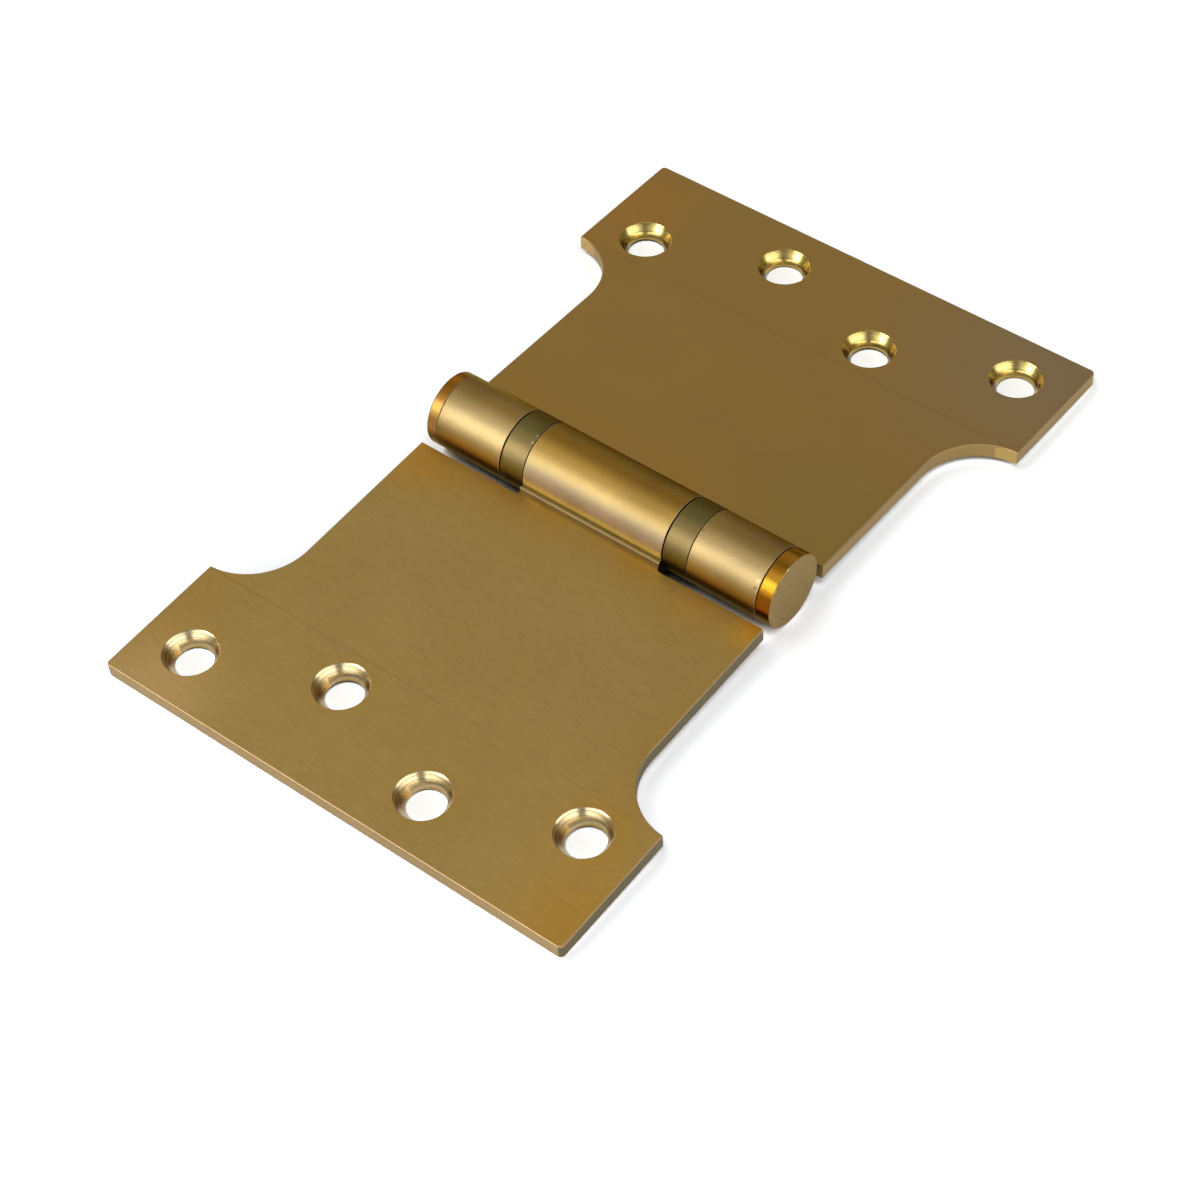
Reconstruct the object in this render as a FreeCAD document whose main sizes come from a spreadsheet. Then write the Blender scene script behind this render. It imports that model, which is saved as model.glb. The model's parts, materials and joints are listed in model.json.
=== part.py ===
import FreeCAD, Part
import Sketcher
import os

# Parliament hinge, opened out flat and lying on its barrel and its two outer edges.
# Pin axis along Y, frame leaf towards +X, countersunk faces up, floor at Z = 0 below the pin.

document = FreeCAD.newDocument("parliament_hinge")
dims = document.addObject("Spreadsheet::Sheet", "dims")

# Driving dimensions in millimetres, and the values that follow from them.
DRIVING = [
    ("leaf_height", 100.0),
    ("leaf_reach", 79.8),
    ("leaf_thick", 3.0),
    ("face_drop", 1.4),
    ("edge_bevel", 0.25),
    ("corner_round", 0.9),
    ("wing_tip_round", 0.4),
    ("wing_overhang", 11.8),
    ("wing_depth", 26.8),
    ("wing_curve_dia", 25.0),
    ("barrel_dia", 14.3),
    ("middle_knuckle", 31.0),
    ("casing_length", 5.2),
    ("end_play", 0.1),
    ("cap_near_thick", 3.1),
    ("cap_far_thick", 2.3),
    ("cap_spigot", 4.0),
    ("turned_edge", 0.2),
    ("notch_gap", 1.75),
    ("notch_corner", 0.8),
    ("bead_reach", 8.0),
    ("bead_rise", 0.95),
    ("bead_round", 0.55),
    ("bead_lead", 0.19),
    ("bead_groove", 0.7),
    ("root_round", 0.8),
    ("screw_hole_dia", 7.0),
    ("countersink_dia", 10.2),
    ("countersink_angle", 65.0),
    ("screw_edge_margin", 10.4),
    ("screw_end_margin", 10.7),
    ("screw_stagger", 9.5),
    ("knuckle_wall", 3.65),
    ("pin_fixed_clearance", 0.01),
    ("pin_running_clearance", 0.04),
    ("pin_end_gap", 0.3),
    ("pin_end_bevel", 0.5),
    ("spigot_clearance", 0.02),
    ("spigot_bevel", 0.4),
    ("casing_wall", 0.6),
    ("race_side_clearance", 0.08),
    ("race_bore_clearance", 0.15),
    ("race_track_depth", 0.4),
    ("race_track_angle", 120.0),
    ("ball_count", 8),
    ("ball_clearance", 0.04),
    ("cage_web", 0.25),
    ("cage_end_clearance", 0.2),
    ("cage_side_clearance", 0.1),
    ("cage_hole_clearance", 0.06),
]
DERIVED = [
    ("barrel_rad", "barrel_dia / 2"),
    ("half_height", "leaf_height / 2"),
    ("half_barrel", "half_height - wing_overhang"),
    ("back_drop", "face_drop + leaf_thick"),
    ("curve_rad", "wing_curve_dia / 2"),
    ("curve_centre_x", "leaf_reach - wing_depth - curve_rad"),
    ("curve_centre_y", "half_barrel + curve_rad"),
    ("outer_row", "leaf_reach - screw_edge_margin"),
    ("inner_row", "outer_row - screw_stagger"),
    ("screw_pitch", "(leaf_height - 2 * screw_end_margin) / 3"),
    ("stack_shift", "(cap_near_thick - cap_far_thick) / 2"),
    ("bearing_room", "casing_length + 2 * end_play"),
    ("far_middle_end", "middle_knuckle / 2 + stack_shift"),
    ("near_middle_end", "middle_knuckle / 2 - stack_shift"),
    ("far_outer_start", "far_middle_end + bearing_room"),
    ("near_outer_start", "near_middle_end + bearing_room"),
    ("far_outer_end", "half_barrel - cap_far_thick"),
    ("near_outer_end", "half_barrel - cap_near_thick"),
    ("notch_reach", "barrel_rad + notch_gap"),
    ("pin_rad", "barrel_rad - knuckle_wall"),
    ("fixed_bore_rad", "pin_rad + pin_fixed_clearance"),
    ("running_bore_rad", "pin_rad + pin_running_clearance"),
    ("pin_half", "(far_outer_end + near_outer_end) / 2 - cap_spigot - pin_end_gap"),
    ("spigot_rad", "fixed_bore_rad - spigot_clearance"),
    ("casing_bore_rad", "barrel_rad - casing_wall"),
    ("race_rad", "casing_bore_rad - race_side_clearance"),
    ("race_bore_rad", "pin_rad + race_bore_clearance"),
    ("ball_pitch_rad", "(race_rad + race_bore_rad) / 2"),
    ("cage_rad", "race_rad - cage_side_clearance"),
    ("cage_bore_rad", "race_bore_rad + cage_side_clearance"),
    ("cage_hole_rad", "(cage_rad - cage_bore_rad) / 2 - cage_web"),
    ("ball_rad", "cage_hole_rad - cage_hole_clearance"),
    ("track_half", "race_track_depth * tan(race_track_angle / 2 * 1 deg)"),
    ("ball_seat", "ball_rad / sin(race_track_angle / 2 * 1 deg) + ball_clearance"),
    ("race_thick", "bearing_room / 2 - ball_seat + race_track_depth"),
    ("cage_half", "ball_seat - race_track_depth - cage_end_clearance"),
    ("bead_centre_x", "bead_reach - bead_round"),
    ("bead_centre_z", "bead_rise - bead_round - face_drop"),
    ("bead_start_z", "bead_centre_z + sqrt(bead_round ^ 2 - bead_lead ^ 2)"),
    ("bead_foot_x", "sqrt(barrel_rad ^ 2 - bead_groove ^ 2)"),
    ("root_centre_z", "-back_drop - root_round"),
    ("root_centre_x", "sqrt((barrel_rad + root_round) ^ 2 - root_centre_z ^ 2)"),
    ("root_touch_x", "root_centre_x * barrel_rad / (barrel_rad + root_round)"),
    ("root_touch_z", "root_centre_z * barrel_rad / (barrel_rad + root_round)"),
    ("rest_reach", "leaf_reach - edge_bevel"),
    ("leaf_tilt", "asin(barrel_rad / sqrt(back_drop ^ 2 + rest_reach ^ 2)) - atan(back_drop / rest_reach)"),
]
for row, (alias, number) in enumerate(DRIVING, start=1):
    dims.set(f"A{row}", alias)
    dims.set(f"B{row}", str(number))
    dims.setAlias(f"B{row}", alias)
document.recompute()
for row, (alias, formula) in enumerate(DERIVED, start=len(DRIVING) + 1):
    dims.set(f"A{row}", alias)
    dims.set(f"B{row}", "=" + formula)
    dims.setAlias(f"B{row}", alias)
    document.recompute()

X_AXIS = FreeCAD.Vector(1, 0, 0)
Y_AXIS = FreeCAD.Vector(0, 1, 0)
Z_AXIS = FreeCAD.Vector(0, 0, 1)


def size(alias):
    result = dims.get(alias)
    return float(getattr(result, "Value", result))


def evaluate(thing, formula):
    result = thing.evalExpression(formula)
    return float(getattr(result, "Value", result))


def formula_of(text):
    # Puts the sheet's name before every alias in a formula.
    words = {alias for alias, _ in DRIVING + DERIVED}
    out = ""
    word = ""
    for letter in text + " ":
        if letter.isalnum() or letter == "_":
            word += letter
            continue
        out += ("dims." + word if word in words else word) + letter
        word = ""
    return out.strip()


def origin_plane(body, role):
    return next(item for item in body.Origin.OriginFeatures if item.Role == role)


def new_body(label):
    body = document.addObject("PartDesign::Body", label)
    body.Label = label
    return body


def new_sketch(body, name, role):
    sketch = body.newObject("Sketcher::SketchObject", name)
    sketch.AttachmentSupport = (origin_plane(body, role), [""])
    sketch.MapMode = "FlatFace"
    return sketch


def near(first, second):
    return abs(first - second) < 1e-4


def fix_distance(sketch, kind, geometry, position, formula):
    # One coordinate of a point, measured from the sketch's origin, which is point 1 of item -1.
    number = evaluate(sketch, formula)
    if near(number, 0):
        axis = -2 if kind == "DistanceX" else -1
        sketch.addConstraint(Sketcher.Constraint("PointOnObject", geometry, position, axis))
        return
    if number > 0:
        index = sketch.addConstraint(Sketcher.Constraint(kind, -1, 1, geometry, position, number))
        sketch.setExpression(f"Constraints[{index}]", formula)
        return
    index = sketch.addConstraint(Sketcher.Constraint(kind, geometry, position, -1, 1, -number))
    sketch.setExpression(f"Constraints[{index}]", f"-({formula})")


def fix_point(sketch, geometry, position, x_text, y_text):
    fix_distance(sketch, "DistanceX", geometry, position, formula_of(x_text))
    fix_distance(sketch, "DistanceY", geometry, position, formula_of(y_text))


def draw_outline(sketch, corners, arcs=None):
    # Closed outline through the corners; arcs maps a side's number to (centre x, centre y, radius, turn).
    arcs = arcs or {}
    points = []
    for x_text, y_text in corners:
        x_number = evaluate(sketch, formula_of(x_text))
        y_number = evaluate(sketch, formula_of(y_text))
        points.append(FreeCAD.Vector(x_number, y_number, 0))
    sides = []
    for side, start in enumerate(points):
        end = points[(side + 1) % len(points)]
        if side not in arcs:
            geometry = sketch.addGeometry(Part.LineSegment(start, end), False)
            sides.append((geometry, 1, 2))
            continue
        centre_x, centre_y, radius, turn = arcs[side]
        centre = FreeCAD.Vector(
            evaluate(sketch, formula_of(centre_x)), evaluate(sketch, formula_of(centre_y)), 0
        )
        number = evaluate(sketch, formula_of(radius))
        circle = Part.Circle(centre, Z_AXIS, number)
        first, last = (start, end) if turn > 0 else (end, start)
        arc = Part.ArcOfCircle(circle, circle.parameter(first), circle.parameter(last))
        geometry = sketch.addGeometry(arc, False)
        sides.append((geometry, 1, 2) if turn > 0 else (geometry, 2, 1))
        index = sketch.addConstraint(Sketcher.Constraint("Radius", geometry, number))
        sketch.setExpression(f"Constraints[{index}]", formula_of(radius))
    for side, (geometry, start, _) in enumerate(sides):
        before, _, before_end = sides[side - 1]
        sketch.addConstraint(Sketcher.Constraint("Coincident", before, before_end, geometry, start))
        fix_point(sketch, geometry, start, *corners[side])


def draw_circle(sketch, x_text, y_text, radius_text):
    centre = FreeCAD.Vector(evaluate(sketch, formula_of(x_text)), evaluate(sketch, formula_of(y_text)), 0)
    number = evaluate(sketch, formula_of(radius_text))
    geometry = sketch.addGeometry(Part.Circle(centre, Z_AXIS, number), False)
    fix_point(sketch, geometry, 3, x_text, y_text)
    index = sketch.addConstraint(Sketcher.Constraint("Radius", geometry, number))
    sketch.setExpression(f"Constraints[{index}]", formula_of(radius_text))


def cut(body, name, sketch, **settings):
    pocket = body.newObject("PartDesign::Pocket", name)
    pocket.Profile = sketch
    for key, value in settings.items():
        setattr(pocket, key, value)
    return pocket


def mirror_ends(body, name, feature):
    mirrored = body.newObject("PartDesign::Mirrored", name)
    mirrored.Originals = [feature]
    mirrored.MirrorPlane = (origin_plane(body, "XZ_Plane"), [""])
    body.Tip = mirrored
    document.recompute()
    return mirrored


def revolved(body, name, corners, arcs=None):
    sketch = new_sketch(body, name + "_profile", "XY_Plane")
    draw_outline(sketch, corners, arcs)
    turned = body.newObject("PartDesign::Revolution", name)
    turned.Profile = sketch
    turned.ReferenceAxis = (sketch, ["V_Axis"])
    turned.Angle = 360
    document.recompute()
    return turned


def edges_where(feature, test):
    names = []
    for number, edge in enumerate(feature.Shape.Edges, start=1):
        if test(edge):
            names.append(f"Edge{number}")
    return names


def leaf_section(body):
    # The drawn brass section: knuckle, raised bead beside it, plate and rounded root underneath.
    corners = [
        ("bead_foot_x", "-bead_groove"),
        ("root_touch_x", "root_touch_z"),
        ("root_centre_x", "-back_drop"),
        ("leaf_reach", "-back_drop"),
        ("leaf_reach", "-face_drop"),
        ("bead_reach", "-face_drop"),
        ("bead_reach", "bead_centre_z"),
        ("bead_centre_x - bead_lead", "bead_start_z"),
    ]
    arcs = {
        0: ("0", "0", "barrel_rad", 1),
        1: ("root_centre_x", "root_centre_z", "root_round", -1),
        6: ("bead_centre_x", "bead_centre_z", "bead_round", 1),
    }
    sketch = new_sketch(body, body.Label + "_section", "XZ_Plane")
    draw_outline(sketch, corners, arcs)
    pad = body.newObject("PartDesign::Pad", body.Label + "_bar")
    pad.Profile = sketch
    pad.SideType = "Symmetric"
    pad.setExpression("Length", "dims.leaf_height")
    document.recompute()
    return pad


def wing_cut(body):
    # The corner beside the neck, left by a large cutter, and the same at the other end.
    sketch = new_sketch(body, body.Label + "_wing_outline", "XY_Plane")
    corners = [
        ("-barrel_dia", "half_barrel"),
        ("curve_centre_x", "half_barrel"),
        ("curve_centre_x + curve_rad", "curve_centre_y"),
        ("curve_centre_x + curve_rad", "half_height + curve_rad"),
        ("-barrel_dia", "half_height + curve_rad"),
    ]
    draw_outline(sketch, corners, {1: ("curve_centre_x", "curve_centre_y", "curve_rad", 1)})
    pocket = cut(body, body.Label + "_wing_cut", sketch, Type="ThroughAll", SideType="Symmetric")
    document.recompute()
    return mirror_ends(body, body.Label + "_wing_cut_mirror", pocket)


def barrel_cut(body, name, corners, arcs):
    # Takes away a stretch of the knuckle bar, with the cutter's round in the inner corners.
    sketch = new_sketch(body, body.Label + "_" + name + "_outline", "XY_Plane")
    draw_outline(sketch, corners, arcs)
    pocket = cut(body, body.Label + "_" + name, sketch, Type="ThroughAll", SideType="Symmetric")
    document.recompute()
    return pocket


def leaf_edges(body, base):
    # Blunted corners in plan, then the small bevels along the plate's outline, above and below.
    corner_x = size("leaf_reach")
    tip_y = size("half_height")

    def upright(edge):
        ends = [vertex.Point for vertex in edge.Vertexes]
        if len(ends) != 2 or not near(ends[0].x, ends[1].x) or not near(ends[0].y, ends[1].y):
            return False
        return near(abs(ends[0].y), tip_y)

    def outer_corner(edge):
        return upright(edge) and near(edge.Vertexes[0].X, corner_x)

    def inner_corner(edge):
        return upright(edge) and not near(edge.Vertexes[0].X, corner_x)

    for name, test, radius in (
        ("corners", outer_corner, "dims.corner_round"),
        ("wing_tips", inner_corner, "dims.wing_tip_round"),
    ):
        fillet = body.newObject("PartDesign::Fillet", body.Label + "_" + name)
        fillet.Base = (base, edges_where(base, test))
        fillet.setExpression("Radius", radius)
        document.recompute()
        base = fillet

    levels = (-size("face_drop"), -size("back_drop"))
    neck_side = size("half_barrel") - size("edge_bevel") / 2

    def outline(edge):
        ends = [vertex.Point for vertex in edge.Vertexes]
        if len(ends) != 2 or any(abs(end.y) < neck_side for end in ends):
            return False
        return any(all(near(end.z, level) for end in ends) for level in levels)

    bevel = body.newObject("PartDesign::Chamfer", body.Label + "_outline_bevel")
    bevel.Base = (base, edges_where(base, outline))
    bevel.setExpression("Size", "dims.edge_bevel")
    document.recompute()
    return bevel


def screw_holes(body):
    # Four countersunk holes, staggered in two rows, from the face that is up.
    sketch = new_sketch(body, body.Label + "_screw_places", "XY_Plane")
    sketch.setExpression("AttachmentOffset.Base.z", "-dims.face_drop")
    document.recompute()
    for row, steps in (("outer_row", -1.5), ("inner_row", -0.5), ("outer_row", 0.5), ("inner_row", 1.5)):
        draw_circle(sketch, row, f"{steps} * screw_pitch", "screw_hole_dia / 2")
    document.recompute()
    hole = body.newObject("PartDesign::Hole", body.Label + "_screw_holes")
    hole.Profile = sketch
    document.recompute()
    hole.Threaded = False
    hole.ThreadType = "None"
    hole.DepthType = "ThroughAll"
    hole.DrillPoint = "Flat"
    hole.setExpression("Diameter", "dims.screw_hole_dia")
    hole.HoleCutType = "Countersink"
    hole.HoleCutCustomValues = True
    hole.setExpression("HoleCutDiameter", "dims.countersink_dia")
    hole.setExpression("HoleCutCountersinkAngle", "dims.countersink_angle")
    document.recompute()
    return hole


def pin_bore(body, radius):
    sketch = new_sketch(body, body.Label + "_bore_circle", "XZ_Plane")
    draw_circle(sketch, "0", "0", radius)
    pocket = cut(body, body.Label + "_bore", sketch, Type="ThroughAll", SideType="Symmetric")
    document.recompute()
    return pocket


def end_notch(body, end, start):
    # Everything beyond the knuckle's end goes, back to the notch line; start is the end's signed height.
    way = "-" if end.startswith("low") else ""
    corners = [
        ("-barrel_dia", start),
        ("notch_reach - notch_corner", start),
        ("notch_reach", f"{start} + {way}notch_corner"),
        ("notch_reach", f"{way}half_height"),
        ("-barrel_dia", f"{way}half_height"),
    ]
    turn = -1 if way else 1
    arc = ("notch_reach - notch_corner", f"{start} + {way}notch_corner", "notch_corner", turn)
    return barrel_cut(body, f"{end}_notch", corners, {1: arc})


# Door leaf: one knuckle in the middle of the barrel. It is drawn like the frame leaf and turned half
# round to its place, so the barrel's far end is at its low end.
door_leaf = new_body("door_leaf")
leaf_section(door_leaf)
wing_cut(door_leaf)
end_notch(door_leaf, "low", "-far_middle_end")
base = end_notch(door_leaf, "high", "near_middle_end")
leaf_edges(door_leaf, base)
pin_bore(door_leaf, "running_bore_rad")
screw_holes(door_leaf)

# Frame leaf: two knuckles with the door leaf's one between them, and room for the caps at their ends.
frame_leaf = new_body("frame_leaf")
leaf_section(frame_leaf)
wing_cut(frame_leaf)
barrel_cut(
    frame_leaf,
    "middle_notch",
    [
        ("-barrel_dia", "-near_outer_start"),
        ("notch_reach - notch_corner", "-near_outer_start"),
        ("notch_reach", "notch_corner - near_outer_start"),
        ("notch_reach", "far_outer_start - notch_corner"),
        ("notch_reach - notch_corner", "far_outer_start"),
        ("-barrel_dia", "far_outer_start"),
    ],
    {
        1: ("notch_reach - notch_corner", "notch_corner - near_outer_start", "notch_corner", 1),
        3: ("notch_reach - notch_corner", "far_outer_start - notch_corner", "notch_corner", 1),
    },
)
end_notch(frame_leaf, "low", "-near_outer_end")
base = end_notch(frame_leaf, "high", "far_outer_end")
leaf_edges(frame_leaf, base)
pin_bore(frame_leaf, "fixed_bore_rad")
screw_holes(frame_leaf)

# Pin, straight through all three knuckles and both bearings.
pin = new_body("pin")
revolved(
    pin,
    "pin_rod",
    [
        ("0", "-pin_half"),
        ("pin_rad - pin_end_bevel", "-pin_half"),
        ("pin_rad", "pin_end_bevel - pin_half"),
        ("pin_rad", "pin_half - pin_end_bevel"),
        ("pin_rad - pin_end_bevel", "pin_half"),
        ("0", "pin_half"),
    ],
)

nodes = [door_leaf, frame_leaf, pin]
half_turn_x = FreeCAD.Rotation(X_AXIS, 180)
unturned = FreeCAD.Rotation()


def place(thing, height, rotation):
    # On the pin's axis, at a height along it.
    thing.Placement = FreeCAD.Placement(FreeCAD.Vector(), rotation)
    thing.setExpression("Placement.Base.y", formula_of(height))
    thing.setExpression("Placement.Base.z", "dims.barrel_rad")
    nodes.append(thing)


for end, sign, outward, inward in (("far", "", unturned, half_turn_x), ("near", "-", half_turn_x, unturned)):
    # End cap: a disc as wide as the barrel, with a spigot in the knuckle's bore.
    thick = f"cap_{end}_thick"
    cap = new_body(f"cap_{end}")
    revolved(
        cap,
        f"cap_{end}_turning",
        [
            ("0", "-cap_spigot"),
            ("spigot_rad - spigot_bevel", "-cap_spigot"),
            ("spigot_rad", "spigot_bevel - cap_spigot"),
            ("spigot_rad", "0"),
            ("barrel_rad - turned_edge", "0"),
            ("barrel_rad", "turned_edge"),
            ("barrel_rad", f"{thick} - turned_edge"),
            ("barrel_rad - turned_edge", thick),
            ("0", thick),
        ],
    )
    place(cap, f"{sign}{end}_outer_end", outward)

    # Bearing casing: a plain sleeve between the knuckles, flush with the barrel.
    casing = new_body(f"casing_{end}")
    revolved(
        casing,
        f"casing_{end}_sleeve",
        [
            ("casing_bore_rad", "0"),
            ("barrel_rad - turned_edge", "0"),
            ("barrel_rad", "turned_edge"),
            ("barrel_rad", "casing_length - turned_edge"),
            ("barrel_rad - turned_edge", "casing_length"),
            ("casing_bore_rad", "casing_length"),
        ],
    )
    place(casing, f"{sign}({end}_middle_end + end_play)", outward)

    # Races: washers with a V track for the balls, one turning with each leaf.
    for side, height, rotation in (
        ("door", f"{end}_middle_end", outward),
        ("frame", f"{end}_outer_start", inward),
    ):
        race = new_body(f"race_{side}_{end}")
        revolved(
            race,
            f"race_{side}_{end}_washer",
            [
                ("race_bore_rad", "0"),
                ("race_rad", "0"),
                ("race_rad", "race_thick"),
                ("ball_pitch_rad + track_half", "race_thick"),
                ("ball_pitch_rad", "race_thick - race_track_depth"),
                ("ball_pitch_rad - track_half", "race_thick"),
                ("race_bore_rad", "race_thick"),
            ],
        )
        place(race, f"{sign}{height}", rotation)

    # Ball cage: a drilled washer that rides between the races.
    middle = f"({end}_middle_end + bearing_room / 2)"
    cage = new_body(f"cage_{end}")
    revolved(
        cage,
        f"cage_{end}_washer",
        [
            ("cage_bore_rad", "-cage_half"),
            ("cage_rad", "-cage_half"),
            ("cage_rad", "cage_half"),
            ("cage_bore_rad", "cage_half"),
        ],
    )
    hole_sketch = new_sketch(cage, f"cage_{end}_hole_circle", "XZ_Plane")
    draw_circle(hole_sketch, "ball_pitch_rad", "0", "cage_hole_rad")
    cage_hole = cut(cage, f"cage_{end}_hole", hole_sketch, Type="ThroughAll", SideType="Symmetric")
    document.recompute()
    cage_holes = cage.newObject("PartDesign::PolarPattern", f"cage_{end}_holes")
    cage_holes.Originals = [cage_hole]
    cage_holes.Axis = (hole_sketch, ["N_Axis"])
    cage_holes.Angle = 360
    cage_holes.setExpression("Occurrences", "dims.ball_count")
    cage.Tip = cage_holes
    place(cage, f"{sign}{middle}", unturned)

    # Balls, one in each hole of the cage.
    for number in range(int(size("ball_count"))):
        ball = document.addObject("Part::Sphere", f"ball_{end}_{number + 1:02d}")
        ball.Label = f"ball_{end}_{number + 1:02d}"
        ball.setExpression("Radius", "dims.ball_rad")
        turn = f"{number} * 360 deg / dims.ball_count"
        ball.setExpression("Placement.Base.x", f"dims.ball_pitch_rad * cos({turn})")
        ball.setExpression("Placement.Base.y", formula_of(f"{sign}{middle}"))
        ball.setExpression("Placement.Base.z", f"dims.barrel_rad + dims.ball_pitch_rad * sin({turn})")
        nodes.append(ball)

# The leaves fall away from the barrel until their outer edges rest level with its underside.
tilt = size("leaf_tilt")
frame_leaf.Placement = FreeCAD.Placement(FreeCAD.Vector(), FreeCAD.Rotation(Y_AXIS, tilt))
half_turn = FreeCAD.Rotation(Z_AXIS, 180)
door_leaf.Placement = FreeCAD.Placement(
    FreeCAD.Vector(), FreeCAD.Rotation(Y_AXIS, -tilt).multiply(half_turn)
)
for thing in (frame_leaf, door_leaf, pin):
    thing.setExpression("Placement.Base.z", "dims.barrel_rad")
pin.setExpression("Placement.Base.y", "dims.stack_shift")

document.recompute()
for item in document.Objects:
    if "Invalid" in item.State or "Error" in item.State:
        raise RuntimeError(f"{item.Name} did not build: {item.State}")
for node in nodes:
    shape = node.Shape
    if shape.isNull() or not shape.isValid() or len(shape.Solids) != 1:
        raise RuntimeError(f"{node.Label} is not one valid solid")

os.makedirs("parts", exist_ok=True)
for node in nodes:
    node.Shape.exportStep(f"parts/{node.Label}.step")
    print(node.Label, round(node.Shape.Volume, 2))
print("leaf tilt", round(tilt, 3), "race thickness", round(size("race_thick"), 3))
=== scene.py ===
# %% [markdown]
# A parliament hinge in satin brass, opened out flat.
#
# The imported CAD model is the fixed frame: it says where every piece is and how it turns. In this lesson
# the pieces that show are modelled again with finer edges, given their finish, and photographed on a
# white table. The pieces inside the barrel stay as the CAD has them and get a finish only.

# %% Load the frame
import json
import math

import bmesh
import bpy
from mathutils import Euler, Matrix, Vector


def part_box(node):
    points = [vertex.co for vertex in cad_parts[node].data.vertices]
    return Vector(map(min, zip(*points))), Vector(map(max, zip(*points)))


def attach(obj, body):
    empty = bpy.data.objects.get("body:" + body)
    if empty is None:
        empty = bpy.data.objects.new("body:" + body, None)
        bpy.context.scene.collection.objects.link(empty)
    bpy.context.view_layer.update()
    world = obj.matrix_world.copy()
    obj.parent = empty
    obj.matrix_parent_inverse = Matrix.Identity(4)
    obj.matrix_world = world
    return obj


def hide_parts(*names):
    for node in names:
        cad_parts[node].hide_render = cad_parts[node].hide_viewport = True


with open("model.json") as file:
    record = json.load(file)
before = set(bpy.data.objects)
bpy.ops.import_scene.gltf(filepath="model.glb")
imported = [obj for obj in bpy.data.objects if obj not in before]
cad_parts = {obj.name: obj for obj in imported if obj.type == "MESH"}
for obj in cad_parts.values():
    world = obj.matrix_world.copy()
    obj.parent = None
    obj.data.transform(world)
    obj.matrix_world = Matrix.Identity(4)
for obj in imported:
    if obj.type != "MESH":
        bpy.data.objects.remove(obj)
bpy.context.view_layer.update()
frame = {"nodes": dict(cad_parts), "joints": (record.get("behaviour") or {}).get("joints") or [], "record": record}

# %% [markdown]
# The frame is in metres, but small parts are easier to model in millimetres, where Blender's merging
# and rounding limits do no harm. So each piece is modelled in millimetres, measured from the pin's axis,
# and brought into the frame when its shape is done. The main sizes are read from the CAD nodes.

# %% Measures from the frame
MM = 0.001
AXIS_HEIGHT = frame["joints"][0]["pos_m"][2] / MM


def along_pin(node, least_radius=0.0):
    """How far a node reaches along the pin, counting only what lies this far from the pin's axis."""
    places = [vertex.co / MM for vertex in frame["nodes"][node].data.vertices]
    heights = [place.y for place in places if math.hypot(place.x, place.z - AXIS_HEIGHT) >= least_radius]
    return min(heights), max(heights)


barrel_rad = (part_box("cap_near")[1].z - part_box("cap_near")[0].z) / MM / 2
leaf_height = (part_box("frame_leaf")[1].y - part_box("frame_leaf")[0].y) / MM
NEARLY = 0.9
cap_far = along_pin("cap_far", NEARLY * barrel_rad)
cap_near = along_pin("cap_near", NEARLY * barrel_rad)
bearing_far = (along_pin("race_door_far")[0], along_pin("race_frame_far")[1])
bearing_near = (along_pin("race_frame_near")[0], along_pin("race_door_near")[1])
half_barrel = cap_far[1]
mounts = {mount["name"]: mount for mount in frame["record"]["mounts"]}
up = Vector(mounts["frame_screw_hole_1"]["axis"])
tilt = math.atan2(up.x, up.z)
print("barrel radius", round(barrel_rad, 3), "leaf height", round(leaf_height, 2))
print("cap spans", cap_far, cap_near, "bearing rooms", bearing_far, bearing_near)
print("each leaf falls away by", round(math.degrees(tilt), 3), "degrees")

# %% [markdown]
# These sizes belong to the leaf's section and outline. They are the CAD's own values, written again in
# millimetres, because a node's box doesn't tell them.

# %% The leaf's own sizes
LEAF_REACH = 79.8
LEAF_THICK = 3.0
FACE_DROP = 1.4
BEAD_REACH = 8.0
BEAD_RISE = 0.95
BEAD_ROUND = 0.55
BEAD_LEAD = 0.19
BEAD_GROOVE = 0.7
ROOT_ROUND = 0.8
WING_DEPTH = 26.8
WING_CURVE = 12.5
NOTCH_REACH = 8.9
NOTCH_CORNER = 0.8
CORNER_ROUND = 0.9
TIP_ROUND = 0.4
ARRIS = 0.25
KNUCKLE_ARRIS = 0.16
PIN_BORE = 3.51
back_drop = FACE_DROP + LEAF_THICK
half_height = leaf_height / 2
print("plate from", -back_drop, "to", -FACE_DROP, "under the pin's axis")

# %% [markdown]
# A few helpers do what a hand does in edit mode: pick a piece up, pick out edges or faces by where they
# are, draw an outline with one travelling point, and cut one shape from another. An operator acts on
# everything that is selected, so each helper first puts everything else down.

# %% Picking up and selecting


def pick_up(piece):
    """Makes this piece the only selected one."""
    if bpy.context.object and bpy.context.object.mode != "OBJECT":
        bpy.ops.object.mode_set(mode="OBJECT")
    bpy.ops.object.select_all(action="DESELECT")
    piece.select_set(True)
    bpy.context.view_layer.objects.active = piece


def select(piece, kind, test):
    """Goes into edit mode and selects the edges or faces that pass a test."""
    pick_up(piece)
    bpy.ops.object.mode_set(mode="EDIT")
    bpy.ops.mesh.select_mode(type=kind)
    bpy.ops.mesh.select_all(action="DESELECT")
    mesh = bmesh.from_edit_mesh(piece.data)
    found = [part for part in (mesh.edges if kind == "EDGE" else mesh.faces) if test(part)]
    for part in found:
        part.select_set(True)
    bmesh.update_edit_mesh(piece.data)
    return len(found)


def done(piece):
    """Leaves edit mode and merges points that lie on each other."""
    bpy.ops.mesh.select_mode(type="VERT")
    bpy.ops.mesh.select_all(action="SELECT")
    bpy.ops.mesh.remove_doubles(threshold=MERGE)
    bpy.ops.mesh.normals_make_consistent(inside=False)
    bpy.ops.object.mode_set(mode="OBJECT")
    return piece


MERGE = 0.0005
print("points closer than", MERGE, "mm are merged")

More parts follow.
